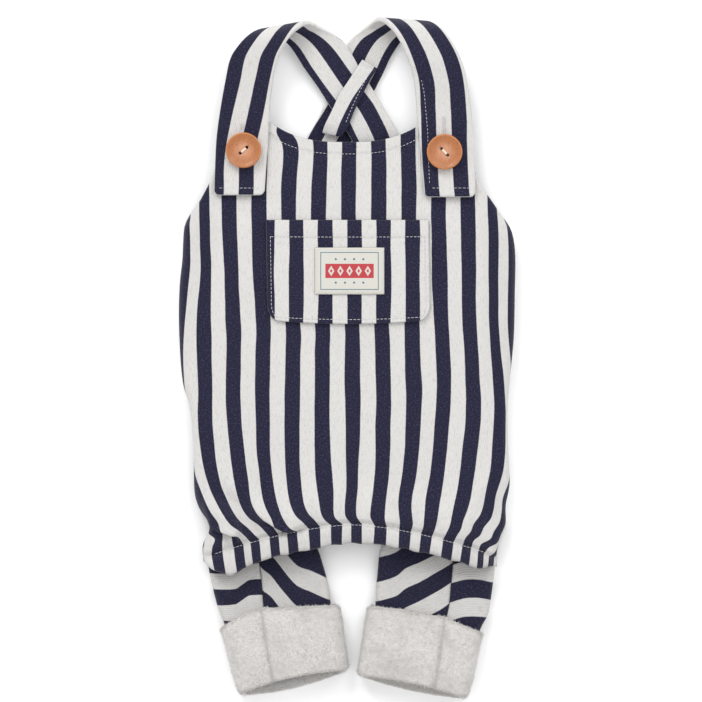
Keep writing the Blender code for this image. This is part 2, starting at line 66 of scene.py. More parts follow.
# Body: rows up the garment; half sections are measured to the outside of the cloth
BODY_COLUMNS = ("y", "left", "right", "top", "fold", "wrap")
BODY_ROWS = (
    (-124.0, -77.0, 82.0, 12.4, 5.8, 0.5),
    (-111.0, -78.2, 83.6, 12.8, 6.0, 0.62),
    (-98.0, -79.8, 85.8, 13.6, 6.2, 1.0),
    (-85.0, -80.2, 87.6, 16.0, 6.8, 1.0),
    (-72.0, -83.2, 89.6, 17.2, 7.0, 1.0),
    (-46.0, -83.8, 88.6, 17.8, 7.0, 1.0),
    (-26.0, -85.6, 88.4, 18.0, 7.0, 1.0),
    (-12.0, -89.6, 89.4, 18.0, 7.0, 1.0),
    (14.0, -91.6, 91.8, 18.0, 7.0, 1.0),
    (40.0, -91.6, 92.4, 17.6, 7.0, 1.0),
    (56.0, -89.9, 92.6, 16.6, 7.0, 1.0),
    (67.0, -89.4, 91.6, 15.8, 7.0, 1.0),
    (74.0, -88.8, 89.4, 15.2, 6.9, 0.92),
    (80.0, -85.9, 84.8, 14.6, 6.6, 0.55),
    (87.0, -80.8, 80.2, 13.8, 6.2, 0.22),
    (93.0, -77.5, 75.8, 13.2, 5.9, 0.08),
    (100.0, -74.0, 71.6, 12.6, 5.6, 0.0),
    (112.0, -70.6, 69.4, 11.8, 5.3, 0.0),
    (122.0, -67.8, 67.0, 11.4, 5.1, 0.0),
    (136.0, -66.0, 65.6, 11.4, 5.1, 0.0),
)
NECK_Y = 120.0
NECK_RISE = 9.3
NECK_HALF = 40.4
NECK_POWER = 2.7
BIB_TOP = 134.0
HEM_X = 3.0
HEM_Y = -89.0
HEM_FALL = 17.0
HEM_HALF = 78.0
HEM_POWER = 1.6
HEM_DEPTH = 10.4
HEM_DROPS = ((-30.0, 25.0, 1.6), (-63.0, 12.0, 4.2), (74.0, 4.0, 1.2))
HEM_END = 66.0
HEM_END_LENGTH = 14.0
HEM_END_RISE = 4.5
HEM_FLATTEN = 0.4

# The casing's own form: its lap under the front, its left corner, its wavy edge, its belly and its puckers
CASING_LAP = 0.6
CASING_CORNER_X = -70.0
CASING_CORNER_OVER = 11.0
CASING_CORNER_RISE = 6.5
CASING_WAVE = 0.35
CASING_BELLY = 1.3
CASING_TILT = 1.6
CASING_ROUND = 2.2
PUCKER_HEIGHT = 0.28
PUCKER_AT_EDGE = 0.35
PUCKERS = ((1.0, 2.1, 0.0), (0.7, 1.27, 1.1), (0.5, 3.4, 2.0))      # size, wave and start

# Gathers over the hem's elastic
GATHER_COLUMNS = ("x", "lean", "reach", "width", "height")
GATHER_ROWS = (
    (-70.0, -0.28, 46.0, 4.6, 1.6),
    (-57.0, -0.62, 62.0, 5.2, 3.0),
    (-42.0, -0.58, 58.0, 4.4, 2.8),
    (-27.5, -0.40, 46.0, 4.4, 2.6),
    (-13.0, -0.22, 34.0, 3.6, 1.8),
    (0.0, -0.06, 26.0, 3.2, 1.2),
    (11.0, 0.02, 24.0, 3.2, 1.2),
    (22.0, 0.06, 26.0, 3.2, 1.4),
    (33.0, 0.10, 28.0, 3.2, 1.4),
    (43.0, 0.16, 32.0, 3.4, 1.8),
    (53.0, 0.24, 40.0, 3.6, 2.2),
    (62.5, 0.30, 44.0, 3.8, 2.2),
    (72.0, 0.24, 42.0, 3.8, 1.8),
)
GATHER_AT_SEAM = 0.35
HEM_PUFF = 3.0
HEM_PUFF_OVER = 30.0
HEM_PUFF_END = 84.0
HEM_PUFF_FADE = 16.0
GATHER_SWELL = 9.0
GATHER_WIDEN = 0.5

BACK_COLUMNS = ("y", "inset", "wrap")
BACK_ROWS = (
    (-98.0, 0.0, 1.0),
    (60.0, 0.0, 1.0),
    (66.0, 0.0, 1.0),
    (72.0, 1.8, 0.9),
    (78.0, 7.5, 0.35),
    (84.0, 15.0, 0.0),
    (92.0, 24.0, 0.0),
    (100.0, 29.0, 0.0),
    (108.0, 32.0, 0.0),
)
BACK_TOP = 107.0
BACK_LOW = -90.0

POCKET_X = 1.4
POCKET_HALF = 44.6
POCKET_TOP = 77.2
POCKET_LOW = 21.8
POCKET_CORNER = 9.0
POCKET_CORNER_WIDTH = 0.8
POCKET_BOW = 1.6
POCKET_LEAN = 0.9
LABEL_X = 1.7
LABEL_Y = 49.2
LABEL_WIDTH = 38.0
LABEL_HEIGHT = 25.6

# Straps: the two edges of the ribbon's middle at each station. A height of None lies on the bib.
STRAP_LIFT = 0.45
STRAP_COLUMNS = ("outer_x", "outer_y", "inner_x", "inner_y", "outer_z", "inner_z")
LEFT_STRAP = (
    (-72.4, 90.6, -44.8, 90.6, None, None),
    (-72.1, 104.0, -43.9, 104.0, None, None),
    (-71.3, 121.6, -42.7, 121.6, None, None),
    (-69.3, 137.0, -41.8, 137.0, 13.4, 13.4),
    (-66.5, 152.4, -39.9, 153.5, 15.8, 16.0),
    (-63.5, 165.6, -36.6, 166.7, 18.2, 19.4),
    (-58.4, 173.0, -32.2, 174.9, 18.8, 20.8),
    (-53.2, 177.8, -27.2, 180.8, 17.2, 19.6),
    (-46.8, 180.8, -20.6, 185.4, 12.2, 13.6),
    (-41.8, 180.4, -13.8, 182.9, 6.8, 7.6),
    (-36.0, 177.1, -7.4, 179.6, 5.3, 5.4),
    (-30.3, 171.6, -1.7, 175.2, 5.1, 5.1),
    (-23.2, 160.6, 3.2, 167.6, 5.1, 5.1),
    (-15.4, 149.6, 7.9, 158.4, 5.1, 5.1),
    (-10.5, 141.9, 12.8, 150.5, 5.1, 5.1),
    (-3.9, 131.7, 19.5, 139.0, 5.1, 5.1),
    (3.4, 120.6, 26.9, 124.6, 5.1, 5.0),
    (8.3, 110.8, 33.0, 110.8, 3.9, 3.9),
    (12.4, 99.4, 38.2, 99.4, 3.9, 3.9),
)
RIGHT_STRAP = (
    (70.6, 89.6, 43.9, 89.6, None, None),
    (70.4, 104.0, 43.1, 104.0, None, None),
    (69.6, 121.6, 42.0, 121.6, None, None),
    (68.5, 137.0, 41.2, 137.0, 13.4, 13.4),
    (66.3, 152.4, 40.0, 152.4, 15.8, 16.0),
    (62.9, 164.5, 36.8, 164.5, 17.8, 18.8),
    (57.8, 174.4, 31.6, 175.3, 17.6, 19.6),
    (52.2, 181.4, 26.1, 182.6, 15.6, 18.2),
    (45.2, 185.2, 19.6, 187.0, 10.0, 11.6),
    (39.6, 184.0, 13.6, 184.4, 4.4, 4.8),
    (34.3, 180.0, 8.0, 180.6, 2.2, 2.3),
    (29.8, 175.2, 2.9, 176.9, 1.7, 1.7),
    (24.6, 167.2, -1.6, 169.6, 1.7, 1.7),
    (20.4, 158.4, -5.0, 158.4, 1.7, 1.7),
    (15.4, 148.5, -8.9, 147.8, 1.7, 1.7),
    (8.8, 136.4, -14.2, 135.9, 1.7, 1.7),
    (5.4, 124.4, -20.6, 124.0, 1.7, 1.7),
    (3.0, 116.0, -24.8, 116.0, 2.7, 2.7),
    (0.6, 109.6, -28.2, 109.6, 3.9, 3.9),
    (-4.0, 99.4, -33.0, 99.4, 3.9, 3.9),
)
KEEPER = (
    (8.6, 165.6, 16.9, 160.6, 4.7, 4.7),
    (7.9, 164.4, 16.2, 159.4, 5.2, 5.2),
    (6.9, 162.7, 15.3, 157.9, 7.7, 7.7),
    (5.1, 160.0, 13.9, 155.7, 8.3, 8.3),
    (1.2, 154.0, 10.9, 150.0, 8.3, 8.3),
    (-3.9, 146.3, 7.2, 143.0, 8.3, 8.3),
    (-8.2, 137.0, 3.9, 135.9, 8.3, 8.3),
    (-11.4, 130.6, 1.2, 129.2, 8.2, 8.3),
    (-12.6, 127.6, -1.2, 125.4, 6.9, 7.8),
    (-13.3, 125.2, -2.7, 122.8, 5.6, 6.6),
)
BUTTON_RADIUS = 10.1
STRAP_INNER_X = 43.0
BUTTONS = {"left": (-56.2, 115.2, 41.0), "right": (53.6, 114.3, -46.0)}

# Legs and cuffs: the outer and inner edge at each station, from inside the body to the open end
LEG_COLUMNS = ("outer_x", "outer_y", "inner_x", "inner_y", "floor", "height")
LEFT_LEG = (
    (-76.4, -90.4, -19.0, -90.4, 0.0, 8.0),
    (-76.2, -104.0, -17.4, -99.0, 0.0, 8.0),
    (-75.6, -114.0, -14.7, -106.0, 0.0, 8.4),
    (-72.8, -127.0, -11.7, -116.0, 0.0, 9.2),
    (-69.9, -137.5, -9.4, -124.8, 0.5, 9.2),
    (-66.4, -145.2, -8.7, -132.4, 3.0, 8.4),
    (-61.0, -159.0, -6.4, -146.6, 3.4, 8.0),
)
RIGHT_LEG = (
    (81.4, -90.4, 21.0, -90.4, 0.0, 8.0),
    (81.6, -104.0, 19.8, -99.0, 0.0, 8.0),
    (81.6, -113.0, 18.0, -106.0, 0.0, 8.4),
    (79.8, -127.0, 17.0, -117.0, 0.0, 9.2),
    (77.9, -138.5, 16.0, -125.2, 0.5, 9.2),
    (73.6, -146.8, 15.9, -132.8, 3.4, 8.0),
    (69.2, -161.0, 14.2, -147.4, 3.4, 8.0),
)
LEG_SEAM = {"left": (0.5, 9.5), "right": (8.0, 10.5)}
LEG_FRONT_CUT = 9.0
LEFT_CUFF = (
    (-69.2, -145.6, -3.4, -133.2, 0.0, 15.4),
    (-65.9, -159.0, -1.6, -146.8, 0.0, 16.6),
    (-62.2, -173.0, 0.2, -160.4, 0.0, 16.6),
    (-58.0, -187.0, 1.6, -172.6, 0.0, 15.4),
)
RIGHT_CUFF = (
    (74.8, -147.0, 11.6, -133.6, 0.0, 15.4),
    (72.2, -160.8, 9.4, -147.4, 0.0, 16.6),
    (69.4, -174.8, 7.4, -161.6, 0.0, 16.6),
    (65.6, -188.0, 5.4, -174.8, 0.0, 15.4),
)
CUFF_SLANTS = {"left": 7.0, "right": 5.0}
CUFF_CORNER = 3.4

# How the elastic draws the navy stripes sideways, counted from the middle one, at heights over the
# stitch line
STRIPE_PITCH = 16.35
COURSE_HEIGHTS = (0.0, 4.0, 8.0, 13.0, 19.0, 26.0, 35.0, 50.0, 80.0)
STRIPE_COURSES = (
    (-8, (43.7, 43.9, 44.5, 37.5, 28.0, 23.0, 18.0, 11.0, 0.0)),
    (-7, (40.6, 40.8, 41.2, 35.0, 25.8, 20.5, 16.0, 9.0, 0.0)),
    (-6, (36.7, 35.0, 31.0, 23.5, 19.0, 16.2, 12.8, 7.0, 0.0)),
    (-5, (28.0, 24.8, 21.8, 18.0, 14.5, 10.8, 6.8, 3.2, 0.0)),
    (-4, (22.8, 20.4, 17.2, 11.6, 7.6, 5.6, 4.4, 2.7, 0.0)),
    (-3, (16.0, 10.5, 8.3, 6.4, 4.4, 2.9, 1.7, 0.6, 0.0)),
    (-2, (12.1, 9.9, 5.8, 3.0, 1.5, 0.7, 0.3, 0.1, 0.0)),
    (-1, (7.9, 3.6, 2.6, 2.4, 1.8, 0.9, 0.2, 0.0, 0.0)),
    (0, (2.6, -0.4, -1.1, -1.1, -0.2, 0.2, 0.3, 0.3, 0.0)),
    (1, (-1.0, -2.7, -2.4, -1.6, -0.9, -0.3, 0.2, 0.3, 0.0)),
    (2, (-3.2, -2.3, -3.0, -3.7, -3.3, -2.1, -0.9, 0.0, 0.0)),
    (3, (-8.5, -7.3, -6.5, -5.5, -4.7, -3.5, -2.3, -0.8, 0.0)),
    (4, (-12.2, -10.2, -8.3, -7.2, -5.8, -4.3, -3.0, -1.4, 0.0)),
    (5, (-18.3, -17.2, -14.3, -12.4, -7.8, -4.9, -4.1, -1.6, 0.0)),
    (6, (-25.7, -24.0, -18.6, -17.4, -15.3, -12.9, -11.1, -5.4, 0.0)),
    (7, (-35.6, -29.5, -27.0, -26.0, -25.0, -23.5, -20.0, -10.0, 0.0)),
)
CASING_LEAN = -0.028     # how the casing's stripes lean towards the middle, per millimetre from it
STRIPE_DRIFT = ((14.0, 3.0), (80.0, 1.1))       # middle navy stripe's x, low and high on the front

# Cloth that turns round the side folds ahead of the flat part, and where on the front that starts
SIDE_COLUMNS = ("y", "left", "left_from", "right", "right_from")
SIDE_ROWS = (
    (-50.0, 0.0, 82.0, 0.0, 72.0),
    (-25.0, 1.0, 82.0, 3.0, 72.0),
    (-8.0, 2.5, 82.0, 6.0, 71.0),
    (12.0, 4.5, 82.0, 11.0, 70.0),
    (34.0, 6.5, 76.0, 11.0, 70.0),
    (56.0, 8.0, 70.0, 9.0, 70.0),
    (120.0, 8.0, 70.0, 9.0, 70.0),
)
SIDE_OVER = 24.0

# Places where the stripes bow aside: x, y, half width, half height and by how much
STRIPE_BOWS = (
    (50.0, -18.0, 28.0, 25.0, 1.7),
    (-45.0, 12.0, 30.0, 20.0, 0.65),
    (-74.0, -8.0, 14.0, 36.0, 0.75),
    (-81.0, -18.0, 8.0, 14.0, 1.3),
    (-76.0, 42.0, 22.0, 20.0, 0.75),
    (-24.0, 113.0, 22.0, 13.0, 1.45),
    (-34.0, 126.0, 12.0, 5.0, -3.5),
    (31.0, 92.0, 12.0, 18.0, 0.75),
    (73.0, 25.0, 14.0, 28.0, -1.15),
    (12.0, -16.0, 12.0, 15.0, 0.75),
    (-52.5, -66.0, 8.0, 13.0, 0.9),
    (-3.5, -66.0, 6.0, 22.0, 1.0),
    (7.5, -68.0, 6.0, 24.0, -0.9),
    (18.5, -68.0, 6.0, 16.0, 0.6),
    (51.5, -33.0, 8.0, 24.0, -0.6),
    (73.5, -38.0, 8.0, 24.0, 0.5),
    (-21.0, 15.0, 20.0, 8.0, 0.6),
    (-40.0, -48.0, 12.0, 20.0, -0.4),
)

# Soft troughs and ridges of the front
CREASE_COLUMNS = ("x", "y", "length", "width", "turn", "height")
FRONT_WRINKLES = (
    (-60.0, -40.0, 40.0, 9.0, 100.0, 0.9),
    (-44.0, -48.0, 30.0, 7.0, 104.0, -0.7),
    (-30.0, -58.0, 22.0, 6.0, 98.0, 0.6),
    (64.0, -44.0, 34.0, 8.0, 82.0, 0.8),
    (50.0, -56.0, 26.0, 6.0, 80.0, -0.6),
    (8.0, -62.0, 20.0, 7.0, 90.0, -0.5),
    (-66.0, 20.0, 36.0, 12.0, 86.0, 0.7),
    (68.0, 30.0, 40.0, 12.0, 94.0, 0.7),
    (-70.0, 66.0, 20.0, 6.0, 60.0, -0.7),
    (72.0, 66.0, 20.0, 6.0, 118.0, -0.7),
    (-52.0, 84.0, 18.0, 5.0, 12.0, -0.6),
    (54.0, 84.0, 18.0, 5.0, -10.0, -0.6),
    (-20.0, 96.0, 26.0, 8.0, 4.0, 0.4),
    (22.0, 104.0, 24.0, 7.0, -8.0, 0.4),
    (0.0, 4.0, 40.0, 10.0, 0.0, -0.6),
    (-30.0, -18.0, 32.0, 9.0, 70.0, 0.5),
    (36.0, -14.0, 34.0, 9.0, 108.0, 0.5),
    (-58.0, -79.5, 13.0, 3.6, -35.0, -1.6),
    (-65.0, -86.0, 13.0, 4.6, -52.0, 1.4),
    (-49.5, -91.0, 8.0, 3.0, -50.0, -1.0),
    (47.0, -86.0, 9.0, 3.4, 32.0, 0.9),
    (70.0, -78.0, 20.0, 4.0, 66.0, 1.2),
    (77.0, -88.0, 14.0, 3.0, 70.0, -1.4),
    (27.0, -86.5, 7.0, 3.0, 12.0, 0.7),
)

# Where the side folds are drawn in, or stand out, above the casing: side, y, half height and depth
SIDE_NOTCHES = (
    (-1, -91.5, 7.0, 5.0),
    (1, -77.0, 7.0, 1.4),
    (1, -89.5, 4.5, -0.7),
    (1, -104.0, 8.5, 2.1),
)
NOTCH_FROM = 64.0
NOTCH_OVER = 18.0

# Folds that overhang the hem: the lip's course in plan, the way it hangs over, and its size
FOLD_COLUMNS = ("lip", "way", "overlap", "spread", "height", "back", "fade")
FRONT_FOLDS = (
    (((-80.0, -88.0), (-74.0, -91.0), (-70.0, -93.6), (-66.0, -94.8), (-62.0, -96.6), (-59.0, -99.2),
      (-56.0, -101.4)), 245.0, 6.0, 1.9, 2.8, 13.0, 4.0),
    (((-54.0, -83.5), (-49.0, -86.8), (-41.0, -90.0), (-33.0, -93.6), (-27.0, -94.2), (-22.0, -91.5),
      (-19.0, -89.5)), 262.0, 5.2, 1.9, 3.2, 13.0, 9.0),
)
LIP_PUSH = 0.43         # how far the push moves the lip, as a share of the overlap
LIP_AT = 0.71           # where the push is strongest, as a share of the spread
LIP_SLIDE_LAG = 0.7
LIP_RISE_OVER = 2.4


def rows_as_dicts(columns, rows):
    """Give each row of a table its column names."""
    return [dict(zip(columns, row)) for row in rows]


def smooth_curve(places, values, at):
    """A smooth curve through a table's values, held level past its ends."""
    places, values = np.asarray(places, float), np.asarray(values, float)
    at = np.clip(np.asarray(at, float), places[0], places[-1])
    nodes = np.arange(len(places))
    before, after = np.maximum(nodes - 1, 0), np.minimum(nodes + 1, len(places) - 1)
    slopes = (values[after] - values[before]) / (places[after] - places[before])
    k = np.clip(np.searchsorted(places, at, side="left") - 1, 0, len(places) - 2)
    span, rise = places[k + 1] - places[k], values[k + 1] - values[k]
    t = (at - places[k]) / span
    a, b = slopes[k] * span - rise, rise - slopes[k + 1] * span
    return values[k] + t * rise + t * (1 - t) * ((1 - t) * a + t * b)


class Table:
    """A short table whose columns are read as smooth curves over one of them."""

    def __init__(self, columns, rows, over):
        self.columns = {name: [row[i] for row in rows] for i, name in enumerate(columns)}
        self.places = self.columns[over]

    def __call__(self, name, at):
        return smooth_curve(self.places, self.columns[name], at)


BODY = Table(BODY_COLUMNS, BODY_ROWS, "y")
BACK = Table(BACK_COLUMNS, BACK_ROWS, "y")
SIDE = Table(SIDE_COLUMNS, SIDE_ROWS, "y")
GATHERS = rows_as_dicts(GATHER_COLUMNS, GATHER_ROWS)
FOLDS = rows_as_dicts(FOLD_COLUMNS, FRONT_FOLDS)


def ease(t):
    """Smooth step from 0 to 1."""
    t = np.clip(t, 0.0, 1.0)
    return t * t * (3 - 2 * t)


def neck_edge(x):
    """Top edge of the bib."""
    return np.minimum(NECK_Y + NECK_RISE * (np.abs(x) / NECK_HALF) ** NECK_POWER, BIB_TOP)


def hem_edge(x):
    """Stitch line over the casing."""
    return HEM_Y - HEM_FALL * (np.abs(x - HEM_X) / HEM_HALF) ** HEM_POWER


def hem_low(x):
    """Lower edge of the casing."""
    drops = sum(drop * np.exp(-((x - place) / width) ** 2) for place, width, drop in HEM_DROPS)
    end = HEM_END_RISE * ease((np.abs(x - HEM_X) - HEM_END) / HEM_END_LENGTH)
    return hem_edge(x) - HEM_DEPTH - drops + end


def gather_height(x, y):
    """Height that the gathers add at a place on the front."""
    up = y - hem_edge(x)
    over = np.maximum(up, 0.0)
    total = 0.0
    for g in GATHERS:
        middle = g["x"] + g["lean"] * over
        spread = g["width"] * (1 + GATHER_WIDEN * over / g["reach"])
        total = total + g["height"] * (1 - ease(up / g["reach"])) * np.exp(-((x - middle) / spread) ** 2)
    inside = ease((HEM_PUFF_END - np.abs(x - HEM_X)) / HEM_PUFF_FADE)
    puff = HEM_PUFF * (1 - ease(up / HEM_PUFF_OVER)) * inside
    return total * (GATHER_AT_SEAM + (1 - GATHER_AT_SEAM) * ease(up / GATHER_SWELL)) + puff


def crease_height(x, y, creases):
    """Height that a table of soft troughs and ridges adds at a place."""
    total = 0.0
    for w in rows_as_dicts(CREASE_COLUMNS, creases):
        c, s = math.cos(math.radians(w["turn"])), math.sin(math.radians(w["turn"]))
        along = ((x - w["x"]) * c + (y - w["y"]) * s) / w["length"]
        across = ((y - w["y"]) * c - (x - w["x"]) * s) / w["width"]
        total = total + w["height"] * np.exp(-along ** 2 - across ** 2)
    return total


def wrinkle_height(x, y):
    """Height that the soft troughs and ridges add at a place on the front."""
    return crease_height(x, y, FRONT_WRINKLES)


def body_shape(y):
    """Left, right, top, fold and wrap of the body at heights y."""
    return [BODY(name, y) for name in BODY_COLUMNS[1:]]


def fold_flat(half, fold, wrap):
    """Bend radius, upright stretch and turn of a side fold, and where the flat part beside it ends."""
    share = np.clip(wrap, 0.0, 1.0)
    straight = SEAM_STRAIGHT * share
    radius, turn = fold - straight, share * math.pi / 2
    return radius, straight, turn, half - radius * np.sin(turn) - straight * np.cos(turn)


def half_path(u, half, fold, wrap):
    """Place on half a section, u from 0 in the middle to 1 at the seam: outwards, drop, uprightness, run."""
    radius, straight, turn, flat = fold_flat(half, fold, wrap)
    length = flat + radius * turn + straight - SEAM * SEAM_SHARE * turn / (math.pi / 2)
    d = u * length
    angle = np.clip((d - flat) / radius, 0.0, turn)
    on = np.maximum(d - flat - radius * turn, 0.0)
    out = np.minimum(d, flat) + radius * np.sin(angle) + on * np.cos(turn)
    drop = radius * (1 - np.cos(angle)) + on * np.sin(turn)
    return out, drop, np.cos(angle), d, length


def crown(out, half, fold, wrap, top):
    """Height of the front over the side folds' tops, at a distance from its middle."""
    flat = fold_flat(half, fold, wrap)[3]
    share = np.maximum(1 - (out / flat) ** 2, 0.0)
    return (top - 2 * fold) * share * share


def front_section(u, y):
    """Place on the front's outer surface before its gathers: x, z, uprightness, run from the middle."""
    left, right, top, fold, wrap = body_shape(y)
    half = (right - left) / 2
    out, drop, upright, d, length = half_path(np.abs(u), half, fold, wrap)
    side = np.sign(u)
    x = (left + right) / 2 + side * out
    return x, 2 * fold - drop + crown(out, half, fold, wrap, top), upright, side * d, length - d


def front_height(x, y):
    """Height of the front's outer surface over a place in plan, short of the side folds."""
    x, y = np.asarray(x, float), np.asarray(y, float)
    left, right, top, fold, wrap = body_shape(y)
    out = np.abs(x - (left + right) / 2)
    return 2 * fold + crown(out, (right - left) / 2, fold, wrap, top) + gather_height(x, y)


def edge_roll(distance, radius):
    """How far a turned edge rounds down at a distance from it."""
    t = np.clip(1 - distance / radius, 0.0, 1.0)
    return radius * (1 - np.sqrt(np.maximum(1 - t * t, 0.0)))


def groove(distance, width):
    """Depth from 0 to 1 of a stitched groove at a distance from its line."""
    return np.exp(-(distance / width) ** 2)


def draw_in(x, y):
    """Draw the side folds in above the casing."""
    for side, notch_y, height, depth in SIDE_NOTCHES:
        outside = ease((side * x - NOTCH_FROM) / NOTCH_OVER)
        x = x - side * depth * np.exp(-((y - notch_y) / height) ** 2) * outside
    return x


def stripe_place(run, up, x, y):
    """The cloth's own place across the stripes, for a run from the section's middle."""
    (low, x_low), (high, x_high) = STRIPE_DRIFT
    left, right = BODY("left", y), BODY("right", y)
    middle = x_low + (x_high - x_low) * np.clip((y - low) / (high - low), 0.0, 1.0)
    run = run + (left + right) / 2 - middle
    for side, sign in (("left", -1), ("right", 1)):
        run = run + sign * SIDE(side, y) * ease((sign * run - SIDE(f"{side}_from", y)) / SIDE_OVER)
    for bow_x, bow_y, width, height, bow in STRIPE_BOWS:
        run = run - bow * np.exp(-((x - bow_x) / width) ** 2 - ((y - bow_y) / height) ** 2)
    lines = [STRIPE_PITCH * k + smooth_curve(COURSE_HEIGHTS, course, up) for k, course in STRIPE_COURSES]
    place = None
    for (k, _), line, following in zip(STRIPE_COURSES, lines, lines[1:]):
        share = (run - line) / (following - line)
        here = STRIPE_PITCH * (k + share)
        place = here if place is None else np.where(share >= 0, here, place)
    return place


def fold_over(x, y, z, upright):
    """Push the cloth over itself along each fold that overhangs the hem."""
    for f in FOLDS:
        way_x, way_y = math.cos(math.radians(f["way"])), math.sin(math.radians(f["way"]))
        lip_x, lip_y = zip(*f["lip"])
        spread = f["spread"]
        lip_reach = LIP_PUSH * f["overlap"] - LIP_AT * spread
        s = (y - smooth_curve(lip_x, lip_y, x)) * way_y + lip_reach
        inside = np.minimum(x - lip_x[0], lip_x[-1] - x)
        fade = ease(inside / f["fade"]) * upright
        slide = ease(inside / f["fade"] - LIP_SLIDE_LAG) * upright
        push = -f["overlap"] * s / spread * np.exp(-(s / spread) ** 2) * slide
        lift = ease((spread - s) / (LIP_RISE_OVER * spread)) * np.exp(-(np.minimum(s, 0.0) / f["back"]) ** 2)
        x, y = x + way_x * push, y + way_y * push
        z = z + f["height"] * lift * fade
    return x, y, z


FRONT_ROWS = ((0.0, 0.0), (0.07, 0.014), (0.39, 0.1), (0.6, 0.24), (0.9, 0.965), (1.0, 1.0))
POCKET_ROWS = ((0.0, 0.0), (0.2, 0.09), (0.88, 0.97), (1.0, 1.0))
SEAM_ROLL = 3.2
SEAM_DEPTH = 1.5
NECK_STITCH = 6.6
NECK_HEM = 0.5
NECK_HEM_OVER = 1.5
NECK_GROOVE = 0.5
NECK_GROOVE_WIDTH = 0.9
NECK_ROUND = 1.1
ARMHOLE_ROUND = 1.2


def spread_rows(v, rows):
    """Set a panel's rows closer where its form is finer: share of the rows against share of the height."""
    share, height = zip(*rows)
    return np.interp(v, share, height)


def seam_sink(up):
    """How far the cloth sinks beside the casing's stitch line."""
    return SEAM_DEPTH * (1 - ease(up / SEAM_ROLL))


def front_surface(u, v):
    """Front panel, from the casing's stitch line to the neckline."""
    v = spread_rows(v, FRONT_ROWS)
    low_x = front_section(u, np.full_like(u, HEM_Y - HEM_FALL / 2))[0]
    high_x = front_section(u, np.full_like(u, NECK_Y))[0]
    hem, neck = hem_edge(low_x), neck_edge(high_x)
    y = (1 - v) * hem + v * neck
    x, z, upright, run, side = front_section(u, y)
    z = z + (gather_height(x, y) + wrinkle_height(x, y)) * upright
    wrap = np.clip(BODY("wrap", y), 0.0, 1.0)
    from_neck = neck - y
    z = z + NECK_HEM * (1 - ease((from_neck - NECK_STITCH) / NECK_HEM_OVER)) * upright
    z = z - NECK_GROOVE * groove(from_neck - NECK_STITCH, NECK_GROOVE_WIDTH)
    z = z - edge_roll(from_neck, NECK_ROUND) - (1 - wrap) * edge_roll(side, ARMHOLE_ROUND)
    z = z - seam_sink(y - hem)
    place = stripe_place(run, y - hem, x, y)
    return *fold_over(draw_in(x, y), y, z, upright), place, y


def hem_surface(u, v):
    """Casing of the elastic hem, below the front panel."""
    x = front_section(u, np.full_like(u, HEM_Y - HEM_FALL / 2))[0]
    start = hem_edge(x) + CASING_LAP
    low_x = front_section(u, hem_low(x))[0]
    corner = CASING_CORNER_RISE * ease((CASING_CORNER_X - low_x) / CASING_CORNER_OVER) ** 2
    low = hem_low(low_x) + corner + CASING_WAVE * np.sin(low_x / 2.3 + np.sin(low_x / 5.1))
    y = start + v * (low - start)
    x, z, upright, run, _ = front_section(u, y)
    lean = CASING_LEAN * (x - HEM_X) * v
    place = stripe_place(run - lean, np.zeros_like(y), x, y)
    puckers = sum(size * np.sin(place / wave + begin) for size, wave, begin in PUCKERS)
    belly = np.sin(math.pi * np.clip(v, 0.0, 1.0))
    puckers = PUCKER_HEIGHT * puckers * (PUCKER_AT_EDGE + (1 - PUCKER_AT_EDGE) * belly)
    z = z + gather_height(x, hem_edge(x)) * upright * (1 - HEM_FLATTEN * v)
    z = z + (CASING_BELLY * belly + CASING_TILT * v + puckers) * upright - seam_sink(start - y)
    return draw_in(x, y), y, z - edge_roll(y - low, CASING_ROUND), place, y


def back_surface(u, v):
    """Back panel: flat on the table, turned up at the side folds to meet the front."""
    y = BACK_LOW + v * (BACK_TOP - BACK_LOW)
    left, right = BODY("left", y), BODY("right", y)
    half = (right - left) / 2 - BACK("inset", y)
    out, rise, _, run, _ = half_path(np.abs(u), half, BODY("fold", y), BACK("wrap", y))
    x = draw_in((left + right) / 2 + np.sign(u) * out, y)
    return x, y, rise, (left + right) / 2 + np.sign(u) * run, y


POCKET_STITCH = 2.4
POCKET_HEM = 9.2
POCKET_HEM_RISE, POCKET_HEM_GROOVE = 0.4, 0.35
POCKET_EDGE_RISE, POCKET_EDGE_GROOVE = 0.45, 0.45
POCKET_STEP_OVER = 1.2
POCKET_ROUND = 1.0
POCKET_NAVY_X = 4.4         # where a navy stripe of the pocket lies, and how its stripes are drawn together
POCKET_STRIPE_SHARE = 1.029


def pocket_place(u, v):
    """Place in plan on the patch pocket, and its distance from the nearest sewn edge."""
    rise = v * (POCKET_TOP - POCKET_LOW)
    over = np.clip(POCKET_CORNER - rise, 0.0, None)
    cut = POCKET_CORNER - np.sqrt(np.maximum(POCKET_CORNER ** 2 - over ** 2, 0.0))
    x = u * (POCKET_HALF - cut * POCKET_CORNER_WIDTH) + POCKET_X - POCKET_LEAN * v
    y = POCKET_LOW + rise - POCKET_BOW * (1 - u * u) * (1 - v)
    inside = np.minimum((1 - np.abs(u)) * POCKET_HALF, rise)
    return x, y, inside


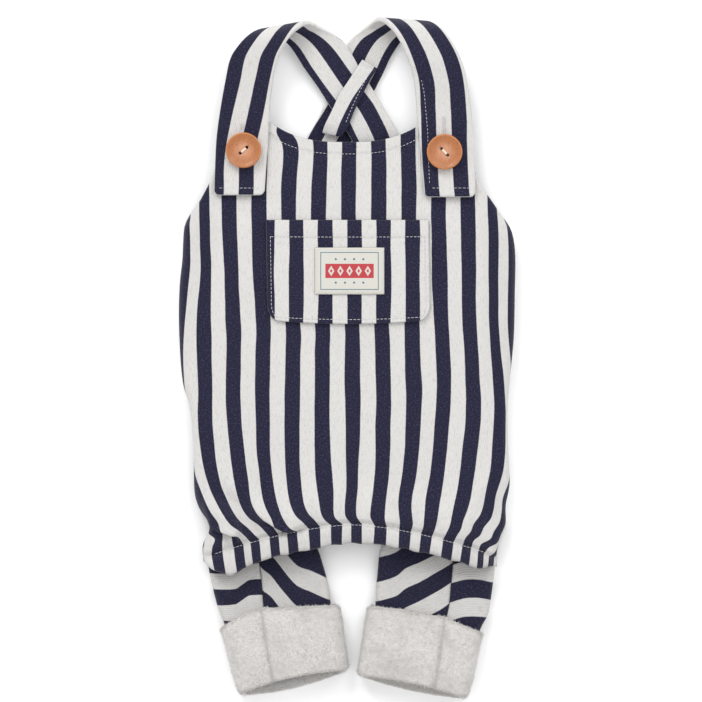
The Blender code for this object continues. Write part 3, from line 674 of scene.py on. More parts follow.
def pocket_surface(u, v):
    """Outer face of the patch pocket, laid on the front."""
    v = spread_rows(v, POCKET_ROWS)
    x, y, inside = pocket_place(u, v)
    from_top = (1 - v) * (POCKET_TOP - POCKET_LOW)
    z = front_height(x, y) + wrinkle_height(x, y) + SEAM + POCKET_CLOTH
    for line, rise, depth, width in (
            (from_top - POCKET_HEM, POCKET_HEM_RISE, POCKET_HEM_GROOVE, 0.8),
            (inside - POCKET_STITCH, POCKET_EDGE_RISE, POCKET_EDGE_GROOVE, 0.7)):
        z = z + rise * (1 - ease(line / POCKET_STEP_OVER)) - depth * groove(line, width)
    z = z - edge_roll(np.minimum(inside, from_top), POCKET_ROUND)
    return x, y, z, (x - POCKET_NAVY_X) * POCKET_STRIPE_SHARE, y


LABEL_STITCH = 1.3
LABEL_GROOVE = 0.25
LABEL_ROUND = 0.6


def label_surface(u, v):
    """Outer face of the woven label."""
    x = LABEL_X + u * LABEL_WIDTH / 2
    y = LABEL_Y + (v - 0.5) * LABEL_HEIGHT
    edge = np.minimum((1 - np.abs(u)) * LABEL_WIDTH / 2, (0.5 - np.abs(v - 0.5)) * LABEL_HEIGHT)
    z = front_height(x, y) + wrinkle_height(x, y) + 2 * SEAM + POCKET_CLOTH + LABEL_CLOTH
    z = z - LABEL_GROOVE * groove(edge - LABEL_STITCH, 0.5) - edge_roll(edge, LABEL_ROUND)
    return x, y, z, x - LABEL_X, y - LABEL_Y


def ribbon(rows, columns):
    """A ribbon ruled between two edge curves: its edges' points and its length."""
    table = rows_as_dicts(columns, rows)
    for row in table:
        if row["outer_z"] is None:
            seat = front_height(row["inner_x"], row["inner_y"]) + STRAP_LIFT + STRAP_CLOTH / 2
            row["outer_z"] = row["inner_z"] = float(seat)
    run = [0.0]
    for a, b in zip(table, table[1:]):
        step = [(b[k] + b[m] - a[k] - a[m]) / 2 for k, m in
                (("outer_x", "inner_x"), ("outer_y", "inner_y"), ("outer_z", "inner_z"))]
        run.append(run[-1] + math.sqrt(sum(s * s for s in step)))

    def edge(side, at):
        return [smooth_curve(run, [row[f"{side}_{axis}"] for row in table], at) for axis in "xyz"]

    return edge, run[-1]


NO_CHANGE = ((0.0, 0.0),)
CORNER_SHARE = 0.16         # share of a strap's half width that its end's corner takes
CORNER_FADE = 12
PAST_END = 1000.0


def ribbon_surface(rows, columns, bow=0.0, widen=NO_CHANGE, drift=NO_CHANGE, anchor=None, corner=0.0):
    """Surface of a ribbon: how far its inner edge stands out and its stripes drift, along its length."""
    edge, length = ribbon(rows, columns)

    def along_table(table, at):
        return smooth_curve(*zip(*table, (PAST_END, table[-1][1])), at)

    def surface(u, v):
        rounding = edge_roll(1 - np.abs(u), CORNER_SHARE) / CORNER_SHARE
        at = v * length + rounding * corner * (1 - v) ** CORNER_FADE
        outer, inner = edge("outer", at), edge("inner", at)
        width = np.sqrt(sum((a - b) ** 2 for a, b in zip(outer, inner)))
        t = (u + 1) / 2 * (1 + along_table(widen, at) / width)
        x, y, z = ((1 - t) * a + t * b for a, b in zip(outer, inner))
        across = t * width if anchor is None else anchor - (1 - t) * width
        return x, y, z + bow * (1 - u * u), across - along_table(drift, at), at

    return surface


def tube_station(rows, at):
    """The two edges, floor and height of a flattened tube at places from 0 to 1 along it."""
    places = np.linspace(0.0, 1.0, len(rows))
    return {name: smooth_curve(places, [row[i] for row in rows], at) for i, name in enumerate(LEG_COLUMNS)}


def tube_girth(station):
    """Half width, fold radius and perimeter of a flattened tube."""
    half = np.hypot(station["outer_x"] - station["inner_x"], station["outer_y"] - station["inner_y"]) / 2
    fold = station["height"] / 2
    return half, fold, 4 * (half - fold) + 2 * math.pi * fold


def tube_section(station, turn):
    """Place on a flattened tube: turn 0 is mid front, 0.25 the outer fold, 0.5 mid back."""
    half, fold, perimeter = tube_girth(station)
    mid_x = (station["outer_x"] + station["inner_x"]) / 2
    mid_y = (station["outer_y"] + station["inner_y"]) / 2
    across_x = (station["outer_x"] - station["inner_x"]) / (2 * half)
    across_y = (station["outer_y"] - station["inner_y"]) / (2 * half)
    d = (turn % 1.0) * perimeter
    side = np.where(d > perimeter / 2, -1.0, 1.0)
    d = np.where(d > perimeter / 2, perimeter - d, d)
    flat = half - fold
    angle = np.clip((d - flat) / fold, 0.0, math.pi)
    bent = np.where(d < flat + math.pi * fold, flat + fold * np.sin(angle), perimeter / 2 - d)
    x = np.where(d < flat, d, bent)
    z = fold * np.cos(angle)
    return (mid_x + across_x * side * x, mid_y + across_y * side * x,
            station["floor"] + station["height"] / 2 + z)


LEG_SINK = 5.0
LEG_SINK_FROM = -142.0
LEG_SINK_OVER = 30.0
LEG_TOP_STRETCH = 0.66    # stripes under the casing look wider where the leg falls away
LEG_TOP_FROM = 0.45       # how far round to the front a panel's upper face starts
LEG_SEAM_DEPTH = 0.7
LEG_SEAM_WIDTH = 1.1


def leg_surface(rows, offsets, outer_side, creases, course, pitch, lean):
    """One of a leg's two panels, from its front seam round the fold to its back seam."""
    length = abs(rows[0][1] - rows[-1][1])

    def surface(u, v):
        station = tube_station(rows, v)
        perimeter = tube_girth(station)[2]
        seam = (offsets[0] + v * (offsets[1] - offsets[0])) / perimeter
        gap = SEAM / 2 / perimeter
        first, last = (seam + gap, 0.5 - seam - gap) if outer_side else (seam - gap, -0.5 - seam + gap)
        share = (u + 1) / 2
        turn = first + share * (last - first)
        front = (1 + np.cos(2 * math.pi * turn)) / 2
        at = v + LEG_FRONT_CUT / length * front * (1 - v)
        station = tube_station(rows, at)
        x, y, z = tube_section(station, turn)
        across = share * perimeter / 2
        top = ease((front - LEG_TOP_FROM) / (1 - LEG_TOP_FROM))
        sink = LEG_SINK * ease((y - LEG_SINK_FROM) / LEG_SINK_OVER)
        z = z - (LEG_SEAM_DEPTH * groove(across, LEG_SEAM_WIDTH) + sink) * top
        z = z + crease_height(x, y, creases) * top
        count = (smooth_curve(*zip(*course), x) - y) / pitch
        count = np.where(count < -1, (count + 1) * LEG_TOP_STRETCH - 1, count)
        return x, y, z, STRIPE_PITCH * count, x - lean * y

    return surface


CUFF_TOP_CORNER = 0.7         # share of the corner's rounding at the cuff's top
CUFF_BRIM_FADE = 1.6
CUFF_LUMPS = 0.28
CUFF_SEAM_DEPTH = 1.5
CUFF_SEAM_WIDTH = 1.5
CUFF_RAGGED = 0.16


def cuff_surface(rows, seam_offsets, dents, brim, slant):
    """A turned-up cuff: a ring whose back reaches past its front."""
    length = abs(rows[0][1] - rows[-1][1])

    def surface(u, v):
        turn = (u + 1) / 2
        front = (1 + np.cos(2 * math.pi * turn)) / 2
        at = v * (1 - slant / length * front)
        station = tube_station(rows, at)
        half, _, perimeter = tube_girth(station)
        x, y, z = tube_section(station, turn)
        across = np.hypot(x - (station["outer_x"] + station["inner_x"]) / 2,
                          y - (station["outer_y"] + station["inner_y"]) / 2)
        y = y + edge_roll(half - across, CUFF_CORNER) * (v ** 10 - CUFF_TOP_CORNER * (1 - v) ** 10)
        run = ((turn + 0.5) % 1.0 - 0.5) * perimeter
        seam = seam_offsets[0] + at * (seam_offsets[1] - seam_offsets[0])
        y = y + smooth_curve(*zip(*brim), x) * ease((front - 0.1) / 0.5) * (1 - v) ** CUFF_BRIM_FADE
        lumps = np.sin(x / 2.9 + 1.7 * np.sin(y / 4.1)) * np.sin(y / 3.3 + 1.3 * np.sin(x / 5.3))
        z = z + CUFF_LUMPS * lumps * front - CUFF_SEAM_DEPTH * groove(run - seam, CUFF_SEAM_WIDTH) * front
        ragged = np.sin(x * 1.9 + 2.0 * np.sin(x * 0.7)) + np.sin(x * 3.1 + y * 0.4)
        y = y + CUFF_RAGGED * ragged * ((1 - v) ** 12 + v ** 12)
        z = z + crease_height(x, y, dents) * front
        return x, y, z, run - seam, at * length

    return surface


# Materials

def arithmetic(operation, swap=False):
    """A method for an operator that adds one Math node."""
    def method(self, other):
        return self.shader.node("ShaderNodeMath", {"operation": operation},
                                dict(enumerate((other, self) if swap else (self, other))))
    return method


class Socket:
    """A shader socket on which arithmetic adds Math nodes."""

    __add__, __radd__ = arithmetic("ADD"), arithmetic("ADD", True)
    __sub__, __rsub__ = arithmetic("SUBTRACT"), arithmetic("SUBTRACT", True)
    __mul__, __rmul__ = arithmetic("MULTIPLY"), arithmetic("MULTIPLY", True)
    __truediv__ = arithmetic("DIVIDE")

    def __init__(self, shader, socket):
        self.shader, self.socket = shader, socket

    def fn(self, operation, *others):
        """Any other Math node on this socket."""
        return self.shader.node("ShaderNodeMath", {"operation": operation}, dict(enumerate((self, *others))))

    def size(self):
        return self.fn("ABSOLUTE")

    def clamp(self):
        return self.shader.node("ShaderNodeMath", {"operation": "MULTIPLY", "use_clamp": True},
                                {0: self, 1: 1.0})

    def over(self, level, gain):
        """How far this socket is over a level, times a gain, kept from 0 to 1."""
        return ((self - level) * gain).clamp()

    def under(self, level, gain):
        """How far this socket is under a level, times a gain, kept from 0 to 1."""
        return ((level - self) * gain).clamp()

    def within(self, reach):
        """1 where this socket lies within a reach of zero, 0 elsewhere."""
        return self.size().fn("LESS_THAN", reach)

    def from_whole(self):
        """Distance from the nearest whole number."""
        return ((self + 0.5).fn("FRACT") - 0.5).size()


class Shader:
    """A material under construction, with one method that makes every node."""

    def __init__(self, name):
        self.material = bpy.data.materials.new(name)
        self.material.use_nodes = True
        self.tree = self.material.node_tree
        self.surface = self.tree.nodes["Principled BSDF"]

    def node(self, kind, settings=None, inputs=None, output=0):
        made = self.tree.nodes.new(kind)
        for name, value in (settings or {}).items():
            setattr(made, name, value)
        for name, value in (inputs or {}).items():
            self.put(made.inputs[name], value)
        return Socket(self, made.outputs[output])

    def put(self, socket, value):
        """Link a socket to another one, or give it a value of its own."""
        if isinstance(value, Socket):
            self.tree.links.new(value.socket, socket)
        else:
            socket.default_value = value

    def set(self, **inputs):
        for name, value in inputs.items():
            self.put(self.surface.inputs[name.replace("_", " ")], value)

    def cloth_map(self):
        """The cloth map in millimetres, as a vector and its two parts."""
        uv = self.node("ShaderNodeUVMap", {"uv_map": "cloth"})
        vector = self.node("ShaderNodeVectorMath", {"operation": "SCALE"}, {0: uv, "Scale": UV_STEP / MM})
        parts = [self.node("ShaderNodeSeparateXYZ", None, {0: vector}, output=i) for i in (0, 1)]
        return vector, *parts

    def place(self):
        """The piece's own coordinates, in metres."""
        return self.node("ShaderNodeTexCoord", None, None, output="Object")

    def stretch(self, vector, scale):
        return self.node("ShaderNodeMapping", None, {"Vector": vector, "Scale": scale})

    def noise(self, vector, scale, detail=2.0, roughness=0.5, distortion=0.0):
        return self.node("ShaderNodeTexNoise", None, {"Vector": vector, "Scale": scale, "Detail": detail,
                                                      "Roughness": roughness, "Distortion": distortion})

    def mix(self, factor, a, b, blend="MIX"):
        """Colour mix; the node's colour sockets are inputs 6 and 7 and output 2."""
        return self.node("ShaderNodeMix", {"data_type": "RGBA", "blend_type": blend},
                         {0: factor, 6: a, 7: b}, output=2)

    def bump(self, height, distance, strength=1.0):
        return self.node("ShaderNodeBump", None,
                         {"Height": height, "Distance": distance, "Strength": strength})


def shade(colour, light=1.0, lift=0.0):
    """A colour property as a shader value, made lighter or darker."""
    return (*(c * light + lift for c in colour[:3]), 1.0)


SOFT_GREY = (0.5, 0.49, 0.47)


def cotton(name, settings, shift=0.0, striped=True, tone=1.0):
    """Brushed striped cotton: stripes across the cloth map, fine ribs and slubs along it; a tone under 1
    darkens it all as painted shade.
    """
    shader = Shader(name)
    vector, across, along = shader.cloth_map()
    navy = 0.0
    if striped:
        edge = shader.noise(vector, 1.3, 1.0) - 0.5
        wander = shader.noise(shader.stretch(vector, (0.05, 0.035, 1.0)), 1.0, 1.0) - 0.5
        phase = (across + shift + wander * settings.stripe_wander / MM) / (settings.stripe_pitch / MM)
        soft = settings.stripe_soft / settings.stripe_pitch
        navy = ((settings.navy_share / 2 - phase.from_whole() + edge * (soft * 0.8)) / soft + 0.5).clamp()

    turns = 2 * math.pi / (settings.weave_pitch / MM)
    rib = (across * turns).fn("SINE")
    weft = (along * (turns / 0.8)).fn("SINE")
    slub = shader.noise(shader.stretch(vector, (1.5, 0.32, 1.0)), 1.0, 3.0, 0.6)
    speck = shader.noise(vector, 1.1, 2.0, 0.7)
    fine = shader.noise(vector, 2.6, 2.0, 0.6)
    blotch = shader.noise(vector, 0.05, 2.0)

    flecks = (speck.over(0.52, 5.0) * 0.6 + fine.over(0.56, 5.0) * 0.6).clamp()
    streaks = (slub.under(0.47, 5.0) * 0.5 + fine.under(0.43, 5.0) * 0.5).clamp()
    # A tone under 1 darkens both yarns: painted shade, used for the legs under the casing.
    navies = shade(settings.navy, 0.86 * tone), shade(settings.navy, 3.6 * tone, 0.03 * tone)
    whites = shade(settings.white, tone), shade(settings.white, 0.6 * tone)
    colour = shader.mix(navy, shader.mix(streaks, *whites), shader.mix(flecks, *navies))
    colour = shader.mix(((blotch - 0.5) * 0.5 + 0.12).clamp(), colour, shade(SOFT_GREY), "SOFT_LIGHT")
    height = rib * 0.34 + weft * 0.06 + slub * 1.1 + fine * 0.9
    normal = shader.bump(height, settings.weave_depth)
    shader.set(Base_Color=colour, Roughness=0.92 - navy * 0.04, Normal=normal, Sheen_Weight=0.12,
               Sheen_Roughness=0.5, Specular_IOR_Level=0.18)
    return shader.material


CUFF_PAINTED_SHADE_AT = 37.6     # how far down a cuff the painted shade on its inside ends, and over how much cloth it fades
CUFF_PAINTED_SHADE_OVER = 3.0


def fleece(name, settings, light):
    """Short brushed fleece, with painted shade along its seam; a light under 1 makes a darker copy for the
    cuffs' inside, with painted shade deepening into the cuff.
    """
    shader = Shader(name)
    place = shader.place()
    clumps = shader.noise(place, 420.0, 4.0, 0.6)
    fuzz = shader.noise(place, 1600.0, 3.0, 0.7)
    broad = shader.noise(place, 75.0, 2.0)
    grain = broad.over(0.44, 5.0)
    tone = ((0.5 - clumps) * 1.6 + (0.5 - fuzz) * (grain * 5.0 + 1.4) + (0.5 - broad) * 1.7 + 0.28).clamp()
    colour = shader.mix(tone, shade(settings.fleece, 1.02 * light), shade(settings.fleece, 0.74 * light))
    across, along = shader.cloth_map()[1:]
    # The cuffs' inside: painted shade that darkens the fleece further into the cuff.
    if light < 1:
        painted_shade = along.under(CUFF_PAINTED_SHADE_AT, 1 / CUFF_PAINTED_SHADE_OVER)
        colour = shader.mix(painted_shade * 0.7, colour, shade(settings.fleece, 0.25))
    # Painted shade along the seam's groove: the fleece darkens in a band either side of the seam.
    seam = (across + (clumps - 0.5) * 2.0).size().under(CUFF_SEAM_WIDTH, 1 / CUFF_SEAM_WIDTH)
    colour = shader.mix(seam * 0.75, colour, shade(settings.fleece, 0.62))
    normal = shader.bump(clumps + fuzz * 0.7, 0.0012, 0.9)
    shader.set(Base_Color=colour, Roughness=0.97, Normal=normal, Sheen_Weight=0.35, Sheen_Roughness=0.6,
               Specular_IOR_Level=0.1)
    return shader.material


def tuft_finish(name, settings):
    """Single fibres of the fleece."""
    shader = Shader(name)
    tone = shader.noise(shader.place(), 300.0, 2.0)
    colour = shader.mix(tone, shade(settings.fleece), shade(settings.fleece, 1.2))
    shader.set(Base_Color=colour, Roughness=1.0, Specular_IOR_Level=0.05)
    return shader.material


def thread(name, colour):
    """Twisted sewing thread."""
    shader = Shader(name)
    twist = shader.noise(shader.place(), 2600.0, 1.0)
    tone = shader.mix(twist, shade(colour, 0.78), shade(colour))
    shader.set(Base_Color=tone, Roughness=0.75, Normal=shader.bump(twist, 0.0001))
    return shader.material


PORE_BROWN = (0.30, 0.075, 0.018)
DISH_RADIUS = 2.9        # the pale middle, over how far it warms and darkens towards the rim (the wood's own tone with painted shade), and the painted highlight on the rim's edge
DISH_OVER = 4.0
RIM_HIGHLIGHT_RADIUS = 8.8
RIM_HIGHLIGHT_OVER = 0.35


def wood(name, settings, middle):
    """Lacquered wood of a button: a paler dished middle, a warm rim darkened partly by painted shade, a
    painted highlight round the rim's edge, and brown pores.
    """
    shader = Shader(name)
    place = shader.place()
    shift = (-middle[0] * MM, -middle[1] * MM, 0.0)
    own = shader.node("ShaderNodeMapping", None, {"Vector": place, "Location": shift})
    flat = shader.stretch(own, (1000.0, 1000.0, 0.0))
    radius = shader.node("ShaderNodeVectorMath", {"operation": "LENGTH"}, {0: flat}, output="Value")
    grain = shader.noise(shader.stretch(place, (420.0, 110.0, 500.0)), 1.0, 4.0, 0.6, 0.6)
    pores = shader.noise(shader.stretch(place, (1500.0, 800.0, 1500.0)), 1.0, 2.0, 0.6)
    # The pale dish warms to a darker rim: the wood's own tone, partly painted shade.
    rim = ((radius - DISH_RADIUS + grain * 1.4) / DISH_OVER).clamp()
    colour = shader.mix(rim, shade(settings.wood_middle), shade(settings.wood))
    # Painted highlight: a lighter ring round the rim's edge.
    colour = shader.mix(radius.over(RIM_HIGHLIGHT_RADIUS, 1 / RIM_HIGHLIGHT_OVER), colour, shade(settings.wood, 1.35))
    colour = shader.mix(grain.over(0.4, 1.4) * 0.55, colour, shade(settings.wood, 0.62))
    colour = shader.mix(pores.over(0.53, 7.0) * (0.15 + rim * 0.65), colour, shade(PORE_BROWN))
    shader.set(Base_Color=colour, Roughness=0.38 + pores * 0.16, Normal=shader.bump(pores + grain, 0.00008),
               Coat_Weight=0.25, Coat_Roughness=0.2)
    return shader.material


# The label's design: half sizes, measured from its middle
LABEL_FRAME = (15.7, 10.1)
LABEL_LINE = 0.22
LABEL_BAND = (13.2, 3.9)
LOZENGE_PITCH = 5.0
LOZENGE_SLANT = 0.62
LOZENGE_SIZES = (1.75, 0.7)
DOT_SIZE = 0.75
DOTS_Y = 6.4


def label_cloth(name, settings):
    """Woven label: an off-white ground, a thin blue frame and a row of plain lozenges."""
    shader = Shader(name)
    vector, across, along = shader.cloth_map()
    frame_x, frame_y = LABEL_FRAME
    line = ((across.size() - frame_x).within(LABEL_LINE) * along.within(frame_y + 0.2)
            + (along.size() - frame_y).within(LABEL_LINE) * across.within(frame_x + 0.2)).clamp()
    band = across.within(LABEL_BAND[0]) * along.within(LABEL_BAND[1])
    cell = (across / LOZENGE_PITCH).from_whole() * LOZENGE_PITCH + along.size() * LOZENGE_SLANT
    row = across.within(2.5 * LOZENGE_PITCH)
    lozenge, middle = (cell.fn("LESS_THAN", size) * row for size in LOZENGE_SIZES)
    dot = (across / LOZENGE_PITCH + 0.5).from_whole() * LOZENGE_PITCH + (along.size() - DOTS_Y).size()
    dots = dot.fn("LESS_THAN", DOT_SIZE) * across.within(2 * LOZENGE_PITCH)
    weave = shader.noise(shader.stretch(vector, (3.0, 3.0, 1.0)), 1.0, 2.0)
    ground = shader.mix(weave, shade(settings.label, 0.9), shade(settings.label))
    blue, red = shade(settings.label_blue), shade(settings.label_red)
    colour = ground
    for part, tint in ((line, blue), (dots, blue), (band, red), (lozenge, ground), (middle, red)):
        colour = shader.mix(part, colour, tint)
    threads = (along * (2 * math.pi / 0.5)).fn("SINE") * 0.5 + weave
    shader.set(Base_Color=colour, Roughness=0.7, Normal=shader.bump(threads, 0.00008), Sheen_Weight=0.1)
    return shader.material


def plain(name, colour, roughness):
    """A surface with only a faint mottle."""
    shader = Shader(name)
    tone = shader.noise(shader.place(), 40.0, 2.0)
    shader.set(Base_Color=shader.mix(tone * 0.1, shade(colour), shade(colour, 0.9)), Roughness=roughness)
    return shader.material


# Pieces

def new_object(name, bm, materials):
    """Put a bmesh in the scene as a named piece."""
    mesh = bpy.data.meshes.new(name)
    bm.to_mesh(mesh)
    bm.free()
    mesh.shade_smooth()
    piece = bpy.data.objects.new(name, mesh)
    bpy.context.scene.collection.objects.link(piece)
    for material in materials:
        mesh.materials.append(material)
    return piece


def lay_cloth(name, grid, surface, materials, wall, offset=-1.0, closed=False, flip=False, smooth=0):
    """Lay a grid of cloth along a surface, with its cloth map, and give it its wall."""
    bm = bmesh.new()
    bmesh.ops.create_grid(bm, x_segments=grid[0], y_segments=grid[1], size=1.0)
    bm.verts.index_update()
    u = np.array([vert.co.x for vert in bm.verts])
    v = (np.array([vert.co.y for vert in bm.verts]) + 1) / 2
    x, y, z, across, along = surface(u, v)
    points = np.stack([x, y, z], axis=1) * MM
    for vert, point in zip(bm.verts, points):
        vert.co = point
    layer = bm.loops.layers.uv.new("cloth")
    cloth_map = np.stack([across, along], axis=1) * (MM / UV_STEP)
    for face in bm.faces:
        for loop in face.loops:
            loop[layer].uv = cloth_map[loop.vert.index]
    if closed:
        bmesh.ops.remove_doubles(bm, verts=bm.verts, dist=0.00001)
    if flip:
        bmesh.ops.reverse_faces(bm, faces=bm.faces)
    piece = new_object(name, bm, materials)
    maker = piece.modifiers.new("wall", "SOLIDIFY")
    maker.thickness, maker.offset = wall * MM, offset
    if len(materials) > 1:
        maker.material_offset = 1
        maker.material_offset_rim = len(materials) - 1
    if smooth:
        rounder = piece.modifiers.new("soft edges", "SUBSURF")
        rounder.levels = rounder.render_levels = smooth
    return piece


def finish_piece(piece, node=None):
    """Hand a piece to the frame."""
    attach(piece, "root")
    if node:
        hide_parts(node)


STITCH_SINK = 0.1
STITCH_LOOK = 0.4        # how far along its path a stitch looks for its direction
SEWING = {               # pitch, length, width and turn of the stitches
    "neck": (2.0, 1.5, 0.28, 0.0),
    "hem": (2.0, 1.8, 0.28, 0.0),
    "pocket": (2.1, 1.7, 0.3, 0.0),
    "label": (1.9, 1.4, 0.22, 0.0),
    "strap end": (2.2, 1.9, 0.24, 0.0),
    "strap edge": (2.0, 1.5, 0.26, 0.0),
    "buttonhole": (0.5, 0.75, 0.42, 80.0),
    "keeper": (1.9, 1.3, 0.3, 0.0),
}


def even_path(points, step):
    """Points and directions at even steps along a path in plan."""
    points = np.asarray(points, float)
    run = np.concatenate([[0.0], np.cumsum(np.hypot(*np.diff(points, axis=0).T))])
    count = max(int(run[-1] / step), 1)
    at = (np.arange(count) + 0.5) * run[-1] / count
    place, ahead, behind = (np.stack([np.interp(at + look, run, column) for column in points.T], axis=1)
                            for look in (0.0, STITCH_LOOK, -STITCH_LOOK))
    return place, ahead - behind


def sew(bm, points, height, pitch, length, width, turn):
    """Add a run of stitches along a path in plan, on a surface of known height."""
    place, way = even_path(points, pitch)
    heights, ahead, behind = (height(*(place + step * way).T) for step in (0, 1, -1))
    for (x, y), (dx, dy), z, rise in zip(place, way, heights, ahead - behind):
        slope = float(rise) / max(2 * math.hypot(dx, dy), 1e-6)
        spin = Matrix.Rotation(math.atan2(dy, dx) + math.radians(turn), 4, "Z")
        tilt = Matrix.Rotation(-math.atan(slope), 4, "Y")
        size = Matrix.Diagonal((length / 2 * MM, width / 2 * MM, width / 2 * MM, 1.0))
        where = Matrix.Translation(Vector((x, y, float(z) - STITCH_SINK)) * MM)
        bmesh.ops.create_uvsphere(bm, u_segments=6, v_segments=4, radius=1.0,
                                  matrix=where @ spin @ tilt @ size @ Matrix.Rotation(math.pi / 2, 4, "Y"))


# Settings

class DungareesCloth(bpy.types.PropertyGroup):
    """Sizes and colours of the striped cotton"""

    stripe_pitch: bpy.props.FloatProperty(
        name="Stripe Pitch", description="One navy and one white stripe", default=0.01635, unit="LENGTH")
    navy_share: bpy.props.FloatProperty(
        name="Navy Share", description="Share of the pitch that is navy", default=0.505, subtype="FACTOR")
    stripe_soft: bpy.props.FloatProperty(
        name="Stripe Edge", description="Width over which a stripe's edge bleeds", default=0.00035,
        unit="LENGTH")
    stripe_wander: bpy.props.FloatProperty(
        name="Stripe Wander", description="How far a stripe strays", default=0.0017, unit="LENGTH")
    weave_pitch: bpy.props.FloatProperty(
        name="Weave Pitch", description="Distance between the cloth's ribs", default=0.00105, unit="LENGTH")
    weave_depth: bpy.props.FloatProperty(
        name="Weave Depth", description="Relief of the weave", default=0.00022, unit="LENGTH")
    navy: bpy.props.FloatVectorProperty(
        name="Navy", description="Colour of the navy yarn", default=(0.0106, 0.0102, 0.0305),
        subtype="COLOR")
    white: bpy.props.FloatVectorProperty(
        name="White", description="Colour of the off-white yarn", default=(0.59, 0.578, 0.565),
        subtype="COLOR")


class DungareesFinish(bpy.types.PropertyGroup):
    """Colours of the cuffs, buttons, thread and label"""

    fleece: bpy.props.FloatVectorProperty(
        name="Fleece", description="Colour of the cuffs", default=(0.635, 0.616, 0.594), subtype="COLOR")
    wood: bpy.props.FloatVectorProperty(
        name="Wood", description="Colour of the buttons' rim", default=(0.365, 0.125, 0.032),
        subtype="COLOR")
    wood_middle: bpy.props.FloatVectorProperty(
        name="Wood Middle", description="Colour of the buttons' dish", default=(0.5, 0.235, 0.13),
        subtype="COLOR")
    thread: bpy.props.FloatVectorProperty(
        name="Thread", description="Colour of the sewing thread", default=(0.68, 0.68, 0.69),
        subtype="COLOR")
    label: bpy.props.FloatVectorProperty(
        name="Label", description="Ground of the label", default=(0.58, 0.565, 0.515), subtype="COLOR")
    label_blue: bpy.props.FloatVectorProperty(
        name="Label Blue", description="Frame of the label", default=(0.06, 0.15, 0.2), subtype="COLOR")
    label_red: bpy.props.FloatVectorProperty(
        name="Label Red", description="Band of the label", default=(0.42, 0.03, 0.04), subtype="COLOR")
    cloth_wall: bpy.props.FloatProperty(
        name="Cloth Wall", description="Thickness of the cloth", default=0.0016, unit="LENGTH")


class DungareesStage(bpy.types.PropertyGroup):
    """Table, lights and camera"""

    table: bpy.props.FloatVectorProperty(
        name="Table", description="Colour of the table", default=(0.95, 0.95, 0.955), subtype="COLOR")
    sky: bpy.props.FloatProperty(
        name="Sky", description="Strength of the light from all round", default=1.08, min=0.0)
    key: bpy.props.FloatProperty(
        name="Key Light", description="Power of the large overhead light", default=31.0, min=0.0)
    camera_height: bpy.props.FloatProperty(
        name="Camera Height", description="Height of the camera", default=2.6, unit="LENGTH")
    view_width: bpy.props.FloatProperty(
        name="View Width", description="Width of the table that the camera sees", default=0.3861,
        unit="LENGTH")
    centre: bpy.props.FloatVectorProperty(
        name="Centre", description="Middle of the view", size=2, default=(0.0025, 0.0055), unit="LENGTH")


def settings():
    """The scene's three groups of settings."""
    scene = bpy.context.scene
    return scene.dungarees_cloth, scene.dungarees_finish, scene.dungarees_stage


MADE = {}


def finish_of(key, make, *inputs):
    """A material, made once."""
    if key not in MADE:
        MADE[key] = make(key, *inputs)
    return MADE[key]


def striped():
    return finish_of("striped cotton", cotton, settings()[0])


def thread_finish():
    return finish_of("sewing thread", thread, settings()[1].thread)


# Operators

# Walls and crowns of the pieces whose cloth isn't the body's
POCKET_WALL = 1.5
LABEL_WALL = 0.7
STRAP_WALL = STRAP_CLOTH - 0.5
STRAP_BOW = 0.25
KEEPER_WALL = 1.4
KEEPER_BOW = 0.2
LEG_WALL = 1.4
FLEECE_WALL = 2.6


class GARMENT_OT_body(bpy.types.Operator):
    """Add the front, its gathered casing and the back"""

    bl_idname = "garment.body"
    bl_label = "Body"

    def execute(self, context):
        wall = settings()[1].cloth_wall / MM
        front = lay_cloth("front", (240, 190), front_surface, [striped()], wall)
        hem = lay_cloth("hem_casing", (250, 18), hem_surface, [striped()], wall, flip=True)
        back = lay_cloth("back", (120, 110), back_surface, [striped()], wall, flip=True)
        for piece, node in ((front, "front_panel"), (hem, "front_hem"), (back, "back_panel")):
            finish_piece(piece, node)
        return {"FINISHED"}


class GARMENT_OT_pocket(bpy.types.Operator):
    """Add the patch pocket and its label"""

    bl_idname = "garment.pocket"
    bl_label = "Pocket"

    def execute(self, context):
        finish = settings()[1]
        pocket = lay_cloth("patch_pocket", (120, 84), pocket_surface, [striped()], POCKET_WALL)
        weave = finish_of("woven label", label_cloth, finish)
        label = lay_cloth("woven_label", (60, 42), label_surface, [weave], LABEL_WALL)
        finish_piece(pocket, "pocket")
        finish_piece(label, "label")
        return {"FINISHED"}


# Outer and inner face's stripes, how the stripes drift and the inner edge stands out along the strap, and
# the width that its stripes are counted from where they follow the inner edge
STRAP_LOOKS = {
    "left": {"faces": (-1.1, -0.4),
             "drift": ((0.0, 0.0), (18.0, 0.0), (45.0, 2.2), (80.0, 3.2), (115.0, 0.0), (136.0, -0.2),
                       (150.0, -0.7), (167.0, 0.5), (187.0, -1.1), (205.0, -1.2)),
             "widen": ((0.0, 0.0), (120.0, 0.0), (150.0, 0.6), (170.0, 1.0), (190.0, 2.0), (205.0, 2.2))},
    "right": {"faces": (-8.0, -3.3),
              "drift": ((0.0, 0.0), (18.0, 0.2), (45.0, -0.6), (80.0, -0.6), (104.0, -1.2), (120.0, -1.7),
                        (136.0, -1.5), (153.0, 0.0), (184.0, 3.2)),
              "widen": ((0.0, 1.5), (30.0, 2.0), (48.0, 3.0), (90.0, 3.0), (118.0, 1.5), (135.0, 0.0)),
              "anchor": 27.5},
}
STRAP_CORNER = 2.2
KEEPER_STRIPES = -11.7


